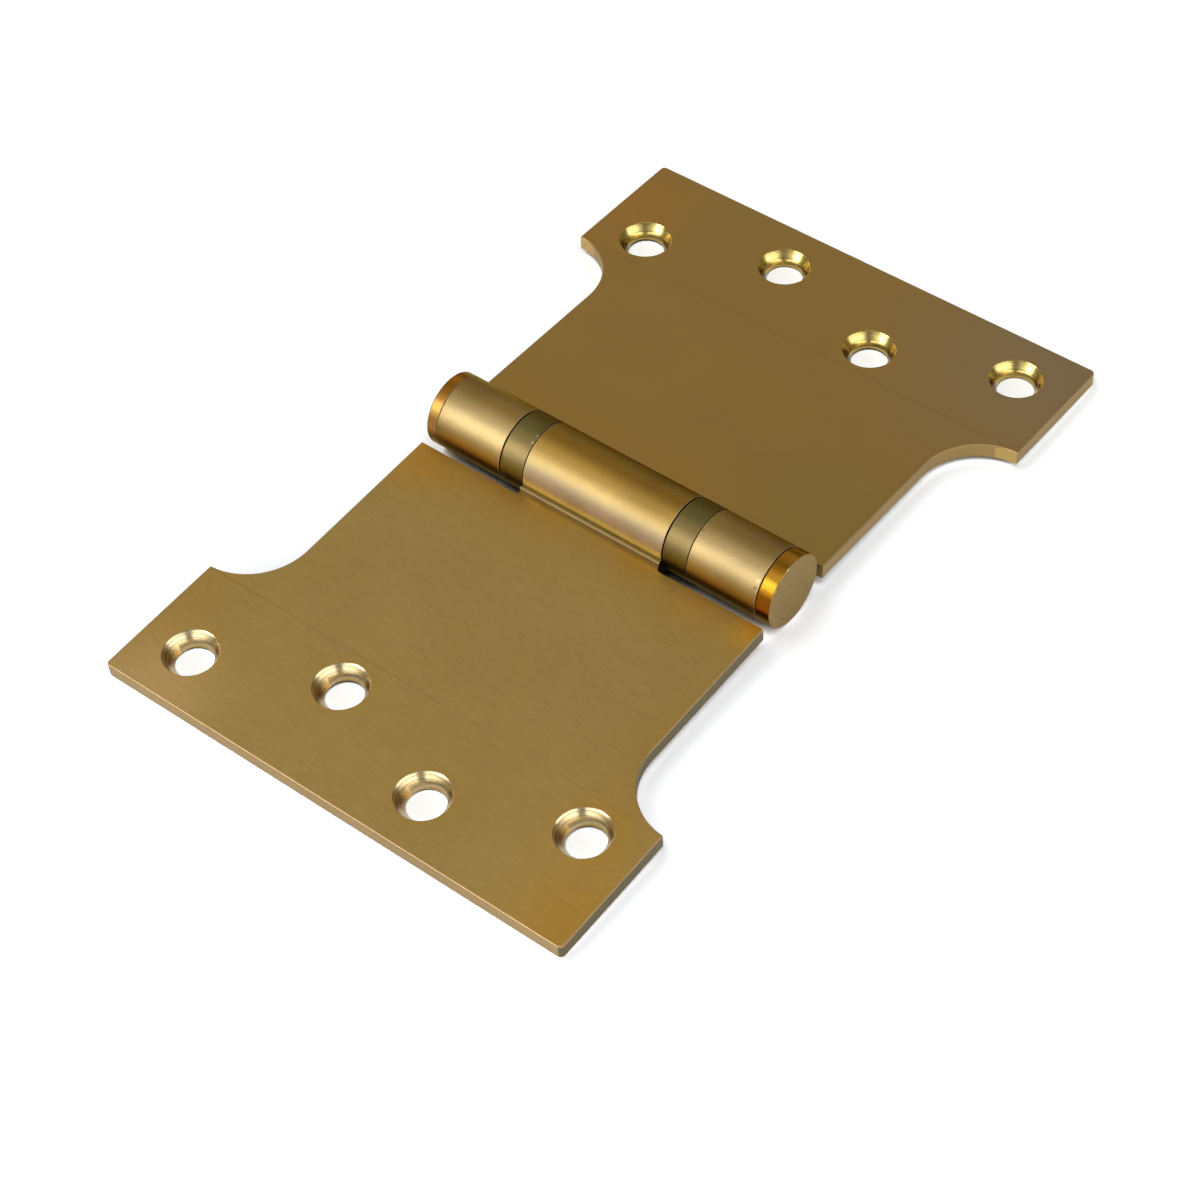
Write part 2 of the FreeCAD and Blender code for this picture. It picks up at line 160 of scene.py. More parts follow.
# %% [markdown]
# Every outline here is straight runs and arcs. One point is placed, extruded along each run and spun
# round each arc's centre, then the loop is filled and extruded into a solid. With no window open, spin
# turns clockwise, so the arc's angle changes its sign.

# %% Drawing outlines
ARC_STEP = math.radians(3.75)
LEAST_STEPS = 4
TURNS = 96
PLANES = {
    "section": (Vector((1, 0, 0)), Vector((0, 0, 1)), Vector((0, -1, 0))),
    "plan": (Vector((1, 0, 0)), Vector((0, 1, 0)), Vector((0, 0, 1))),
}


def pencil_point(name, place):
    """A new piece in edit mode that is one point, which a plane merged at its centre gives."""
    bpy.ops.object.select_all(action="DESELECT")
    bpy.ops.mesh.primitive_plane_add(size=1, location=(0, 0, 0))
    piece = bpy.context.object
    piece.name = name
    bpy.ops.object.mode_set(mode="EDIT")
    bpy.ops.mesh.select_mode(type="VERT")
    bpy.ops.mesh.merge(type="CENTER")
    bpy.ops.transform.translate(value=place)
    return piece


def drawn_solid(name, plane, start, moves, low, high):
    """A closed outline of ("to", a, b) runs and ("round", a, b, angle) arcs, extruded from low to high."""
    across, upward, normal = PLANES[plane]
    depth = Vector(map(abs, normal))
    pencil = across * start[0] + upward * start[1] + depth * low
    piece = pencil_point(name, pencil)
    for move in moves:
        goal = across * move[1] + upward * move[2] + depth * low
        if move[0] == "to":
            bpy.ops.mesh.extrude_region_move(TRANSFORM_OT_translate={"value": goal - pencil})
            pencil = goal
            continue
        angle = move[3]
        steps = max(LEAST_STEPS, round(abs(angle) / ARC_STEP))
        bpy.ops.mesh.spin(steps=steps, angle=-angle, center=goal, axis=normal)
        pencil = goal + Matrix.Rotation(angle, 4, normal) @ (pencil - goal)
    bpy.ops.mesh.select_all(action="SELECT")
    bpy.ops.mesh.remove_doubles(threshold=MERGE)
    bpy.ops.mesh.edge_face_add()
    bpy.ops.mesh.extrude_region_move(TRANSFORM_OT_translate={"value": depth * (high - low)})
    return done(piece)


def turned_solid(name, profile):
    """A profile of (radius, height) points, spun a full turn round the height axis, which is Z."""
    points = [Vector((radius, 0, height)) for radius, height in profile]
    piece = pencil_point(name, points[0])
    for here, there in zip(points, points[1:]):
        bpy.ops.mesh.extrude_region_move(TRANSFORM_OT_translate={"value": there - here})
    bpy.ops.mesh.select_all(action="SELECT")
    bpy.ops.mesh.spin(steps=TURNS, angle=math.tau, center=(0, 0, 0), axis=(0, 0, 1))
    return done(piece)


def carve(piece, cutter, operation="DIFFERENCE"):
    """Cuts one shape from another, or joins it on, and throws the cutter away."""
    pick_up(piece)
    cut = piece.modifiers.new("carve", "BOOLEAN")
    cut.object = cutter
    cut.operation = operation
    cut.solver = "EXACT"
    bpy.ops.object.modifier_apply(modifier="carve")
    bpy.data.objects.remove(cutter)
    return piece


print("arcs in steps of", round(math.degrees(ARC_STEP), 2), "degrees, full turns in", TURNS)

# %% [markdown]
# Each leaf is cut from one drawn brass bar. Its section has the full round of the knuckle, a small bead
# and groove beside it, and the plate, which leaves the knuckle low so that the two leaves can close face
# to face. Extruding that section gives the bar, as the die does in the works.

# %% The bar of one leaf


def leaf_bar(name):
    """The section of one leaf, extruded to its full height."""
    groove_x = math.sqrt(barrel_rad**2 - BEAD_GROOVE**2)
    root_z = -back_drop - ROOT_ROUND
    root_x = math.sqrt((barrel_rad + ROOT_ROUND) ** 2 - root_z**2)
    groove_turn = math.atan2(-BEAD_GROOVE, groove_x)
    root_turn = math.atan2(root_z, root_x) + math.tau
    bead_x = BEAD_REACH - BEAD_ROUND
    bead_z = BEAD_RISE - BEAD_ROUND - FACE_DROP
    bead_turn = math.pi / 2 + math.asin(BEAD_LEAD / BEAD_ROUND)
    moves = [
        ("round", 0, 0, root_turn - groove_turn),
        ("round", root_x, root_z, math.pi / 2 - (root_turn - math.pi)),
        ("to", LEAF_REACH, -back_drop),
        ("to", LEAF_REACH, -FACE_DROP),
        ("to", BEAD_REACH, -FACE_DROP),
        ("to", BEAD_REACH, bead_z),
        ("round", bead_x, bead_z, bead_turn),
        ("to", groove_x, -BEAD_GROOVE),
    ]
    return drawn_solid(name, "section", (groove_x, -BEAD_GROOVE), moves, -half_height, half_height)


door_leaf = leaf_bar("door_leaf_brass")
frame_leaf = leaf_bar("frame_leaf_brass")
print("bar", len(door_leaf.data.vertices), "points", [round(size, 2) for size in door_leaf.dimensions])

# %% [markdown]
# The corners beside the neck are milled away with a large round cutter, which leaves the T shape and its
# two hollow curves. The knuckles are then cut apart with a smaller cutter, so the notches behind them
# keep a small round in each inner corner.

# %% Wings and knuckles
CLEAR = 20.0
beyond = half_height + CLEAR
curve_x = LEAF_REACH - WING_DEPTH - WING_CURVE


def wing_cutter(side):
    """Clears a corner beside the neck; side is +1 for the far end of the leaf as drawn, and else -1."""
    moves = [
        ("to", curve_x, side * half_barrel),
        ("round", curve_x, side * (half_barrel + WING_CURVE), side * math.pi / 2),
        ("to", curve_x + WING_CURVE, side * beyond),
        ("to", -CLEAR, side * beyond),
        ("to", -CLEAR, side * half_barrel),
    ]
    return drawn_solid("wing_cutter", "plan", (-CLEAR, side * half_barrel), moves, -CLEAR, CLEAR)


def gap_cutter(low, high):
    """Clears the barrel between two knuckles, or from a knuckle to beyond the leaf's end."""
    corner = NOTCH_REACH - NOTCH_CORNER
    moves = [
        ("to", corner, low),
        ("round", corner, low + NOTCH_CORNER, math.pi / 2),
        ("to", NOTCH_REACH, high - NOTCH_CORNER),
        ("round", corner, high - NOTCH_CORNER, math.pi / 2),
        ("to", -CLEAR, high),
        ("to", -CLEAR, low),
    ]
    return drawn_solid("gap_cutter", "plan", (-CLEAR, low), moves, -CLEAR, CLEAR)


# The door leaf is drawn the same way round as the frame leaf and turned later, so its ends change places.
door_knuckles = [(-bearing_far[0], -bearing_near[1])]
frame_knuckles = [(cap_near[1], bearing_near[0]), (bearing_far[1], cap_far[0])]
for leaf, knuckles in ((door_leaf, door_knuckles), (frame_leaf, frame_knuckles)):
    for side in (1, -1):
        carve(leaf, wing_cutter(side))
    ends = [-beyond, *[end for span in knuckles for end in span], beyond]
    for low, high in zip(ends[::2], ends[1::2]):
        carve(leaf, gap_cutter(low, high))
print("knuckles", [[round(end, 2) for end in span] for span in door_knuckles + frame_knuckles])

# %% [markdown]
# No real edge is sharp, and on brushed brass the thin bright line along each arris is what makes a plate look like
# metal. The upright corners are blunted first, and then the whole outline gets a fine round, above and below. The
# knuckles' ends get a smaller one, which their finish paints paler, partly as wear where they rub on the rings and
# partly as a painted highlight.

# %% Corners and arrises
TOUCH = 0.01


def near(first, second):
    """Whether two lengths are the same."""
    return abs(first - second) < TOUCH


def is_upright(first, second):
    """Whether an edge between these two points stands on the plate."""
    return near(first.x, second.x) and near(first.y, second.y) and not near(first.z, second.z)


def blunt(piece, test, size, segments):
    """Bevels the edges whose two ends pass a test."""
    count = select(piece, "EDGE", lambda edge: test(*[vertex.co for vertex in edge.verts]))
    bpy.ops.mesh.bevel(offset=size, segments=segments, profile=0.5, clamp_overlap=False)
    done(piece)
    return count


def outer_corner(first, second):
    """The two upright edges at the leaf's outer corners."""
    return is_upright(first, second) and near(first.x, LEAF_REACH) and near(abs(first.y), half_height)


def wing_tip(first, second):
    """The two upright edges where the wings start."""
    inner = not near(first.x, LEAF_REACH)
    return is_upright(first, second) and inner and near(abs(first.y), half_height)


def plate_outline(first, second):
    """The edges round the plate's two faces, apart from those at the neck."""
    for level in (-FACE_DROP, -back_drop):
        if near(first.z, level) and near(second.z, level):
            past_neck = min(abs(first.y), abs(second.y)) > half_barrel - TOUCH
            at_edge = near(first.x, LEAF_REACH) and near(second.x, LEAF_REACH)
            return past_neck or at_edge
    return False


def knuckle_end(knuckles):
    """A test for the round edges at the knuckles' ends."""
    ends = [end for span in knuckles for end in span]

    def test(first, second):
        if not all(near(math.hypot(point.x, point.z), barrel_rad) for point in (first, second)):
            return False
        return any(near(first.y, end) and near(second.y, end) for end in ends)

    return test


for leaf, knuckles in ((door_leaf, door_knuckles), (frame_leaf, frame_knuckles)):
    counts = [
        blunt(leaf, outer_corner, CORNER_ROUND, 6),
        blunt(leaf, wing_tip, TIP_ROUND, 4),
        blunt(leaf, plate_outline, ARRIS, 3),
        blunt(leaf, knuckle_end(knuckles), KNUCKLE_ARRIS, 2),
    ]
    print(leaf.name, "edges blunted", counts)

# %% [markdown]
# The screw holes are drilled first and countersunk in a second setting, so each sink stands a little off
# its hole's centre, more on the door leaf. The tool chattered and left lines round the cone, on the frame
# leaf mostly near the rim. So each leaf's sinking tool is spun from its own profile with the deeper lines
# in it, and the finish adds the finer ones. Before the holes, the pin's bore is cut along the knuckles.

# %% Screw holes and bore
HOLE_RAD = mounts["frame_screw_hole_1"]["dims"]["r_mm"]
LAND = mounts["frame_screw_hole_1"]["dims"]["length_mm"]
SINK_RAD = 5.1
TIP_RAD = 2.0
OVERRUN = 1.0
RIM_BLUNT = 0.07
LINE_WIDE = 0.09
LINE_DEEP = 0.05
DOOR_LINES = (0.62, 1.50)
FRAME_LINES = (0.22, 0.50, 1.75)
DOOR_WANDER = Vector((-0.14, 0.17))
FRAME_WANDER = Vector((0.04, -0.05))


def drill_profile():
    """Radius and height of the drill, from below the plate up past its face."""
    below = -back_drop - OVERRUN
    return [(0, below), (HOLE_RAD, below), (HOLE_RAD, 0), (0, 0)]


def sink_profile(lines):
    """Radius and height of the sinking tool; each line is this far down the cone from its rim."""
    foot = Vector((HOLE_RAD, -back_drop + LAND))
    rim = Vector((SINK_RAD, -FACE_DROP))
    down = (foot - rim).normalized()
    inward = Vector((-down.y, down.x))
    tip = foot + down * ((HOLE_RAD - TIP_RAD) / -down.x)
    points = [Vector((0, tip.y)), tip]
    for depth in reversed(lines):
        middle = rim + down * depth
        points += [middle + down * LINE_WIDE / 2, middle + inward * LINE_DEEP, middle - down * LINE_WIDE / 2]
    points += [rim + down * RIM_BLUNT, rim + Vector((RIM_BLUNT, RIM_BLUNT / 2))]
    points.append(Vector((0, points[-1].y)))
    return [tuple(point) for point in points]


def screw_mounts(leaf_name):
    """The mounts of a leaf's screw holes."""
    return [mount for name, mount in mounts.items() if name.startswith(leaf_name + "_screw")]


def hole_places(leaf_name):
    """The holes' places on a leaf as it is drawn, from the mounts, which are on the tilted leaf."""
    side = 1 if leaf_name == "frame" else -1
    places = []
    for mount in screw_mounts(leaf_name):
        place = Vector(mount["pos_m"]) / MM - Vector((0, 0, AXIS_HEIGHT))
        untilted = Matrix.Rotation(-side * tilt, 4, "Y") @ place
        places.append((side * untilted.x, side * untilted.y))
    return places


holes = {}
for leaf, leaf_name, lines, wander in (
    (door_leaf, "door", DOOR_LINES, DOOR_WANDER),
    (frame_leaf, "frame", FRAME_LINES, FRAME_WANDER),
):
    reach = half_height + OVERRUN
    bore = [(0, -reach), (PIN_BORE, -reach), (PIN_BORE, reach), (0, reach)]
    cutter = turned_solid("bore_cutter", bore)
    cutter.data.transform(Matrix.Rotation(math.pi / 2, 4, "X"))
    carve(leaf, cutter)
    holes[leaf.name] = hole_places(leaf_name)
    for x, y in holes[leaf.name]:
        for tool, profile, way in (("drill", drill_profile(), 1), ("sink", sink_profile(lines), -1)):
            cutter = turned_solid(tool, profile)
            cutter.data.transform(Matrix.Translation((x + way * wander.x, y + way * wander.y, 0)))
            carve(leaf, cutter)
    print(leaf.name, "holes at", [(round(x, 2), round(y, 2)) for x, y in holes[leaf.name]])

# %% [markdown]
# The end caps and the bearing casings are turned pieces, so each is one profile spun round the pin. A cap
# is a disc with a spigot in the knuckle's bore. Its edges have a small round, which catches the light.
# A casing is a sleeve round the bearing, with fine lathe lines left on its outside. Both casings have
# settled toward the near end of their rooms, so the seam on their far side is the wider one.

# %% Caps and casings
CAP_EDGE = 0.22
CASING_EDGE = 0.08
CASING_STEP = 0.35
STEP_NEAR = 0.07
STEP_FAR = 0.13
CASING_WALL = 0.6
SPIGOT_RAD = 3.49
SEAM_DEPTH = 0.5
SEAM_NEAR = 0.18
SEAM_FAR = 0.04
EDGE_STEPS = 4


def rounded(corner_radius, corner_height, size, outward):
    """Points of a quarter round at a profile's outer corner; outward is +1 at its top, -1 at its foot."""
    points = []
    for step in range(EDGE_STEPS + 1):
        turn = math.pi / 2 * step / EDGE_STEPS
        radius = corner_radius - size + size * math.cos(turn)
        height = corner_height - outward * (size - size * math.sin(turn))
        points.append((radius, height))
    return points


def cap(name, thick, spigot, seam):
    """A cap standing on its spigot: height 0 is the knuckle's end, and a seam of this width stays open."""
    profile = [(0, -spigot), (SPIGOT_RAD, -spigot), (SPIGOT_RAD, 0), (barrel_rad - SEAM_DEPTH, 0)]
    profile += [(barrel_rad - SEAM_DEPTH, seam)]
    profile += list(reversed(rounded(barrel_rad, seam, CAP_EDGE / 2, -1)))
    profile += rounded(barrel_rad, thick, CAP_EDGE, 1)
    profile += [(0, thick)]
    return turned_solid(name, profile)


def casing(name, long):
    """A sleeve with a fine step at both ends, which shows as the dark line of the seam."""
    bore = barrel_rad - CASING_WALL
    step = barrel_rad - CASING_STEP
    profile = [(bore, 0), (step, 0), (step, STEP_NEAR)]
    profile += list(reversed(rounded(barrel_rad, STEP_NEAR, CASING_EDGE, -1)))
    profile += rounded(barrel_rad, long - STEP_FAR, CASING_EDGE, 1)
    profile += [(step, long - STEP_FAR), (step, long), (bore, long), (bore, 0)]
    return turned_solid(name, profile)


def lay_along_pin(piece, height, outward):
    """Lays a turned piece along the pin, its foot at this height, its top pointing far (+1) or near (-1)."""
    piece.data.transform(Matrix.Rotation(-outward * math.pi / 2, 4, "X"))
    piece.data.transform(Matrix.Translation((0, height, 0)))
    return piece


SETTLED = -0.05
pieces = {}
for name, outward, seam, foot, top in (
    ("cap_far", 1, SEAM_FAR, cap_far[0], cap_far[1]), ("cap_near", -1, SEAM_NEAR, cap_near[1], cap_near[0])
):
    spigot = max(abs(end - foot) for end in along_pin(name) if not near(end, top))
    pieces[name] = lay_along_pin(cap(name + "_brass", abs(top - foot), spigot, seam), foot, outward)
for name in ("casing_far", "casing_near"):
    low, high = along_pin(name)
    pieces[name] = lay_along_pin(casing(name + "_brass", high - low), low + SETTLED, 1)
for name, piece in pieces.items():
    print(name, [round(size, 2) for size in piece.dimensions])

# %% [markdown]
# A finish is more than a colour. Brushed brass has fine lines along the stroke, which change its colour a
# little, its roughness a little more and its surface most of all. One node group makes such strokes from
# noise stretched along one axis, and every finish uses it with its own width and length of stroke.

# %% The stroke group
NODES_IN_ROW = 8
NODE_ROOM = 300
FINE_SHARE = 0.45


def add(tree, kind, values=None, **settings):
    """Adds a node; values fills its sockets, each with a constant or with another node's output."""
    row, column = divmod(len(tree.nodes), NODES_IN_ROW)
    node = tree.nodes.new(kind)
    node.location = (column * NODE_ROOM, -row * NODE_ROOM)
    for key, value in settings.items():
        setattr(node, key, value)
    for socket, value in (values or {}).items():
        if isinstance(value, bpy.types.NodeSocket):
            tree.links.new(value, node.inputs[socket])
        else:
            node.inputs[socket].default_value = value
    return node


def new_group(name, numbers, outputs, vectors=("Vector",)):
    """A group with vector inputs, number inputs with their first values, and number outputs."""
    group = bpy.data.node_groups.new(name, "ShaderNodeTree")
    for label in vectors:
        group.interface.new_socket(name=label, in_out="INPUT", socket_type="NodeSocketVector")
    for label, value in numbers.items():
        socket = group.interface.new_socket(name=label, in_out="INPUT", socket_type="NodeSocketFloat")
        socket.default_value = value
    for label in outputs:
        group.interface.new_socket(name=label, in_out="OUTPUT", socket_type="NodeSocketFloat")
    return group, add(group, "NodeGroupInput").outputs


def stroke_group():
    """Strokes on a surface: a soft shade and a height, both near 0.5 on average."""
    group, given = new_group("strokes", {}, ("Shade", "Height"))
    layers = []
    for scale, detail, rough in ((1.0, 3.0, 0.6), (2.7, 2.0, 0.7)):
        values = {"Vector": given["Vector"], "Scale": scale, "Detail": detail, "Roughness": rough}
        layers.append(add(group, "ShaderNodeTexNoise", values).outputs["Fac"])
    mixed = {"Factor": FINE_SHARE, "A": layers[0], "B": layers[1]}
    both = add(group, "ShaderNodeMix", mixed, data_type="FLOAT")
    add(group, "NodeGroupOutput", {"Shade": both.outputs["Result"], "Height": layers[1]})
    return group


strokes = stroke_group()
print("group", strokes.name, [item.name for item in strokes.interface.items_tree])

# %% [markdown]
# Edges are where a polishing wheel bites and where hands and packing rub, so brass is paler and smoother there.
# The pale tone painted along them is partly that wear and partly a painted highlight, the bright line an edge
# catches. The next group finds edges by comparing a surface's normal with the normal it would have if its edges
# were rounded, and breaks the line up with noise, because no edge wears evenly.

# %% The group for rubbed edges and painted edge highlights
EDGE_BEND = (0.995, 0.86)
BREAK_SCALE = 900.0
BREAKS = (0.35, 0.6)
EDGE_LEAST = 0.35


def map_range(tree, value, low, high, to_low=0.0, to_high=1.0, kind="LINEAR"):
    """Goes from to_low to to_high while a value goes from low to high."""
    values = {"Value": value, "From Min": low, "From Max": high, "To Min": to_low, "To Max": to_high}
    return add(tree, "ShaderNodeMapRange", values, interpolation_type=kind).outputs["Result"]


def math_node(tree, operation, first, second):
    """A math node of two numbers or sockets."""
    return add(tree, "ShaderNodeMath", {0: first, 1: second}, operation=operation).outputs["Value"]


def make_rubbed_sheen_group():
    """A mask that is 0 on the flat and 1 on an edge."""
    group, given = new_group("rubbed_and_sheen_edges", {"Width": 0.0002}, ("Mask",))
    rounded_off = add(group, "ShaderNodeBevel", {"Radius": given["Width"]}, samples=6)
    flat = add(group, "ShaderNodeNewGeometry")
    normals = {0: rounded_off.outputs["Normal"], 1: flat.outputs["Normal"]}
    facing = add(group, "ShaderNodeVectorMath", normals, operation="DOT_PRODUCT")
    breaks = add(group, "ShaderNodeTexNoise", {"Vector": given["Vector"], "Scale": BREAK_SCALE})
    edge = map_range(group, facing.outputs["Value"], *EDGE_BEND)
    uneven = map_range(group, breaks.outputs["Fac"], *BREAKS, EDGE_LEAST)
    add(group, "NodeGroupOutput", {"Mask": math_node(group, "MULTIPLY", edge, uneven)})
    return group


rubbed_sheen = make_rubbed_sheen_group()
print("group", rubbed_sheen.name, [item.name for item in rubbed_sheen.interface.items_tree])

# %% [markdown]
# The lacquer over the plates is a little thicker toward their ends, along the barrel and round the screw
# holes, and it warms the brass there from olive to orange. This group makes that stain from how far a
# point lies from the middle of the hinge. The next one makes a soft round patch about a point, for what
# happens in one place only: round a hole, at a corner, or where something knocked the piece.

# %% The warm stain groups
STAIN_STARTS = 0.028
STAIN_FULL = 0.0505
BARREL_STAIN = (0.026, 0.006)
STAIN_SCALE = 70.0


def ramp(group, source, low, high):
    """Rises smoothly from 0 to 1 while the source goes from low to high."""
    return map_range(group, source, low, high, kind="SMOOTHSTEP")


def stain_group():
    """Near End, Far End and Barrel say how strong the stain is toward each."""
    strengths = {"Near End": 1.0, "Far End": 1.0, "Barrel": 1.0}
    group, given = new_group("warm_stain", strengths, ("Mask",))
    parts = add(group, "ShaderNodeSeparateXYZ", {"Vector": given["Vector"]}).outputs
    aside = math_node(group, "ABSOLUTE", parts["X"], 0.0)
    near_end = ramp(group, parts["Y"], -STAIN_STARTS, -STAIN_FULL)
    far_end = ramp(group, parts["Y"], STAIN_STARTS, STAIN_FULL)
    barrel = ramp(group, aside, *BARREL_STAIN)
    near_part = math_node(group, "MULTIPLY", near_end, given["Near End"])
    far_part = math_node(group, "MULTIPLY", far_end, given["Far End"])
    barrel_part = math_node(group, "MULTIPLY", barrel, given["Barrel"])
    ends = math_node(group, "MAXIMUM", near_part, far_part)
    most = math_node(group, "MAXIMUM", ends, barrel_part)
    cloudy = {"Vector": given["Vector"], "Scale": STAIN_SCALE, "Detail": 2.0}
    clouds = add(group, "ShaderNodeTexNoise", cloudy)
    patchy = ramp(group, clouds.outputs["Fac"], 0.1, 0.7)
    add(group, "NodeGroupOutput", {"Mask": math_node(group, "MULTIPLY", most, patchy)})
    return group


def patch_group():
    """Full strength inside one distance from the centre and nothing beyond the other."""
    sizes = {"Inner": 0.005, "Outer": 0.009, "Strength": 0.5}
    group, given = new_group("soft_patch", sizes, ("Mask",), ("Vector", "Centre"))
    ends = {0: given["Vector"], 1: given["Centre"]}
    apart = add(group, "ShaderNodeVectorMath", ends, operation="DISTANCE").outputs["Value"]
    fade = ramp(group, apart, given["Outer"], given["Inner"])
    add(group, "NodeGroupOutput", {"Mask": math_node(group, "MULTIPLY", fade, given["Strength"])})
    return group


stain = stain_group()
soft_patch = patch_group()
print("groups", stain.name, soft_patch.name, "full stain at", STAIN_FULL / MM, "mm")

# %% [markdown]
# The finishes are built from a few steps that come again and again: mix two colours, make one lighter or
# darker, lay colours out along a ramp, and measure a place as an angle round the pin. The colours are
# written as a paint program gives them, from 0 to 255, and changed to Blender's own scale.

# %% Steps in colour
NOISE_LOW = 0.3
NOISE_HIGH = 0.7


def tone(red, green, blue):
    """A colour from 0 to 255, on the linear scale that shaders use."""
    channels = []
    for value in (red, green, blue):
        share = value / 255
        channels.append(share / 12.92 if share <= 0.04045 else ((share + 0.055) / 1.055) ** 2.4)
    return (*channels, 1.0)


def mix_colours(tree, factor, first, second):
    """Mixes two colours, each a tone or a socket."""
    values = {"Factor": factor, "A": first, "B": second}
    return add(tree, "ShaderNodeMix", values, data_type="RGBA").outputs["Result"]


def scale_colour(tree, colour, amount):
    """Makes a colour lighter or darker."""
    values = {0: colour, "Scale": amount}
    return add(tree, "ShaderNodeVectorMath", values, operation="SCALE").outputs["Vector"]


def colour_ramp(tree, source, stops):
    """A ramp through stops of a place from 0 to 1, a colour and an alpha."""
    node = add(tree, "ShaderNodeValToRGB", {"Fac": source})
    while len(node.color_ramp.elements) < len(stops):
        node.color_ramp.elements.new(0.5)
    for element, (place, colour, alpha) in zip(node.color_ramp.elements, stops):
        element.position = place
        element.color = (*colour[:3], alpha)
    return node.outputs


def swing(tree, source, middle, spread):
    """Turns a noise value into one that swings round the middle."""
    return map_range(tree, source, NOISE_LOW, NOISE_HIGH, middle - spread, middle + spread)


def round_the_pin(tree, vector):
    """Changes a place into its angle round the pin and its height along it."""
    parts = add(tree, "ShaderNodeSeparateXYZ", {"Vector": vector}).outputs
    angle = math_node(tree, "ARCTAN2", parts["X"], parts["Z"])
    return add(tree, "ShaderNodeCombineXYZ", {"X": angle, "Y": parts["Y"]}).outputs["Vector"]


print("noise is read from", NOISE_LOW, "to", NOISE_HIGH)

# %% [markdown]
# The brass finishes share one recipe: a metal whose colour wanders between two near tones in soft clouds, with
# strokes over it, paler edges and a thin clear lacquer. The paler edges are partly wear and partly a painted
# highlight. What differs is the tones, the stroke's direction, and how rough the surface is. On the barrel, other
# tones lie over these two at a few angles round the pin, and fade out underneath; they are painted highlight and
# shade, lighter at some angles and darker at others, as the lamps fall on the barrel. Seen at a flat angle, metal
# mirrors more and loses its colour; the tint at grazing angles keeps the barrel's outline warm.

# %% The recipe of a finish
# The pale tone of edges is partly wear and partly a painted highlight.
RUBBED_AND_SHEEN = tone(226, 196, 146)
CLOUD_SCALE = 60.0
CLOUDED = 0.16
ROUGH_SPREAD = 0.05
BUMP_DEPTH = 0.0002
FINE_EDGE = 0.0001
TURNED_EDGE = 0.00015
FADE_START = 18.0
FADE_LENGTH = 27.0
GRAZING_TINT = (0.85, 0.75, 0.4, 1.0)


def lay_painted_shading(tree, vector, clouds, colour, tones):
    """Lays tones of painted highlight and shade over a colour at angles from the barrel's top, and lets them fade
    out underneath.
    """
    low, high = tones[0][0] - FADE_START - FADE_LENGTH, tones[-1][0] + FADE_LENGTH
    angles = [(low, tones[0][1], 0), (low + FADE_LENGTH, tones[0][1], 1)]
    angles += [(degrees, its_tone, 1) for degrees, its_tone in tones] + [(high, tones[-1][1], 0)]
    stops = [((degrees - low) / (high - low), tone(*its_tone), alpha) for degrees, its_tone, alpha in angles]
    angle = add(tree, "ShaderNodeSeparateXYZ", {"Vector": vector}).outputs["X"]
    share = map_range(tree, angle, -math.radians(low), -math.radians(high))
    turned = colour_ramp(tree, share, stops)
    clouded = scale_colour(tree, turned["Color"], swing(tree, clouds, 1.0, CLOUDED))
    return mix_colours(tree, turned["Alpha"], colour, clouded)


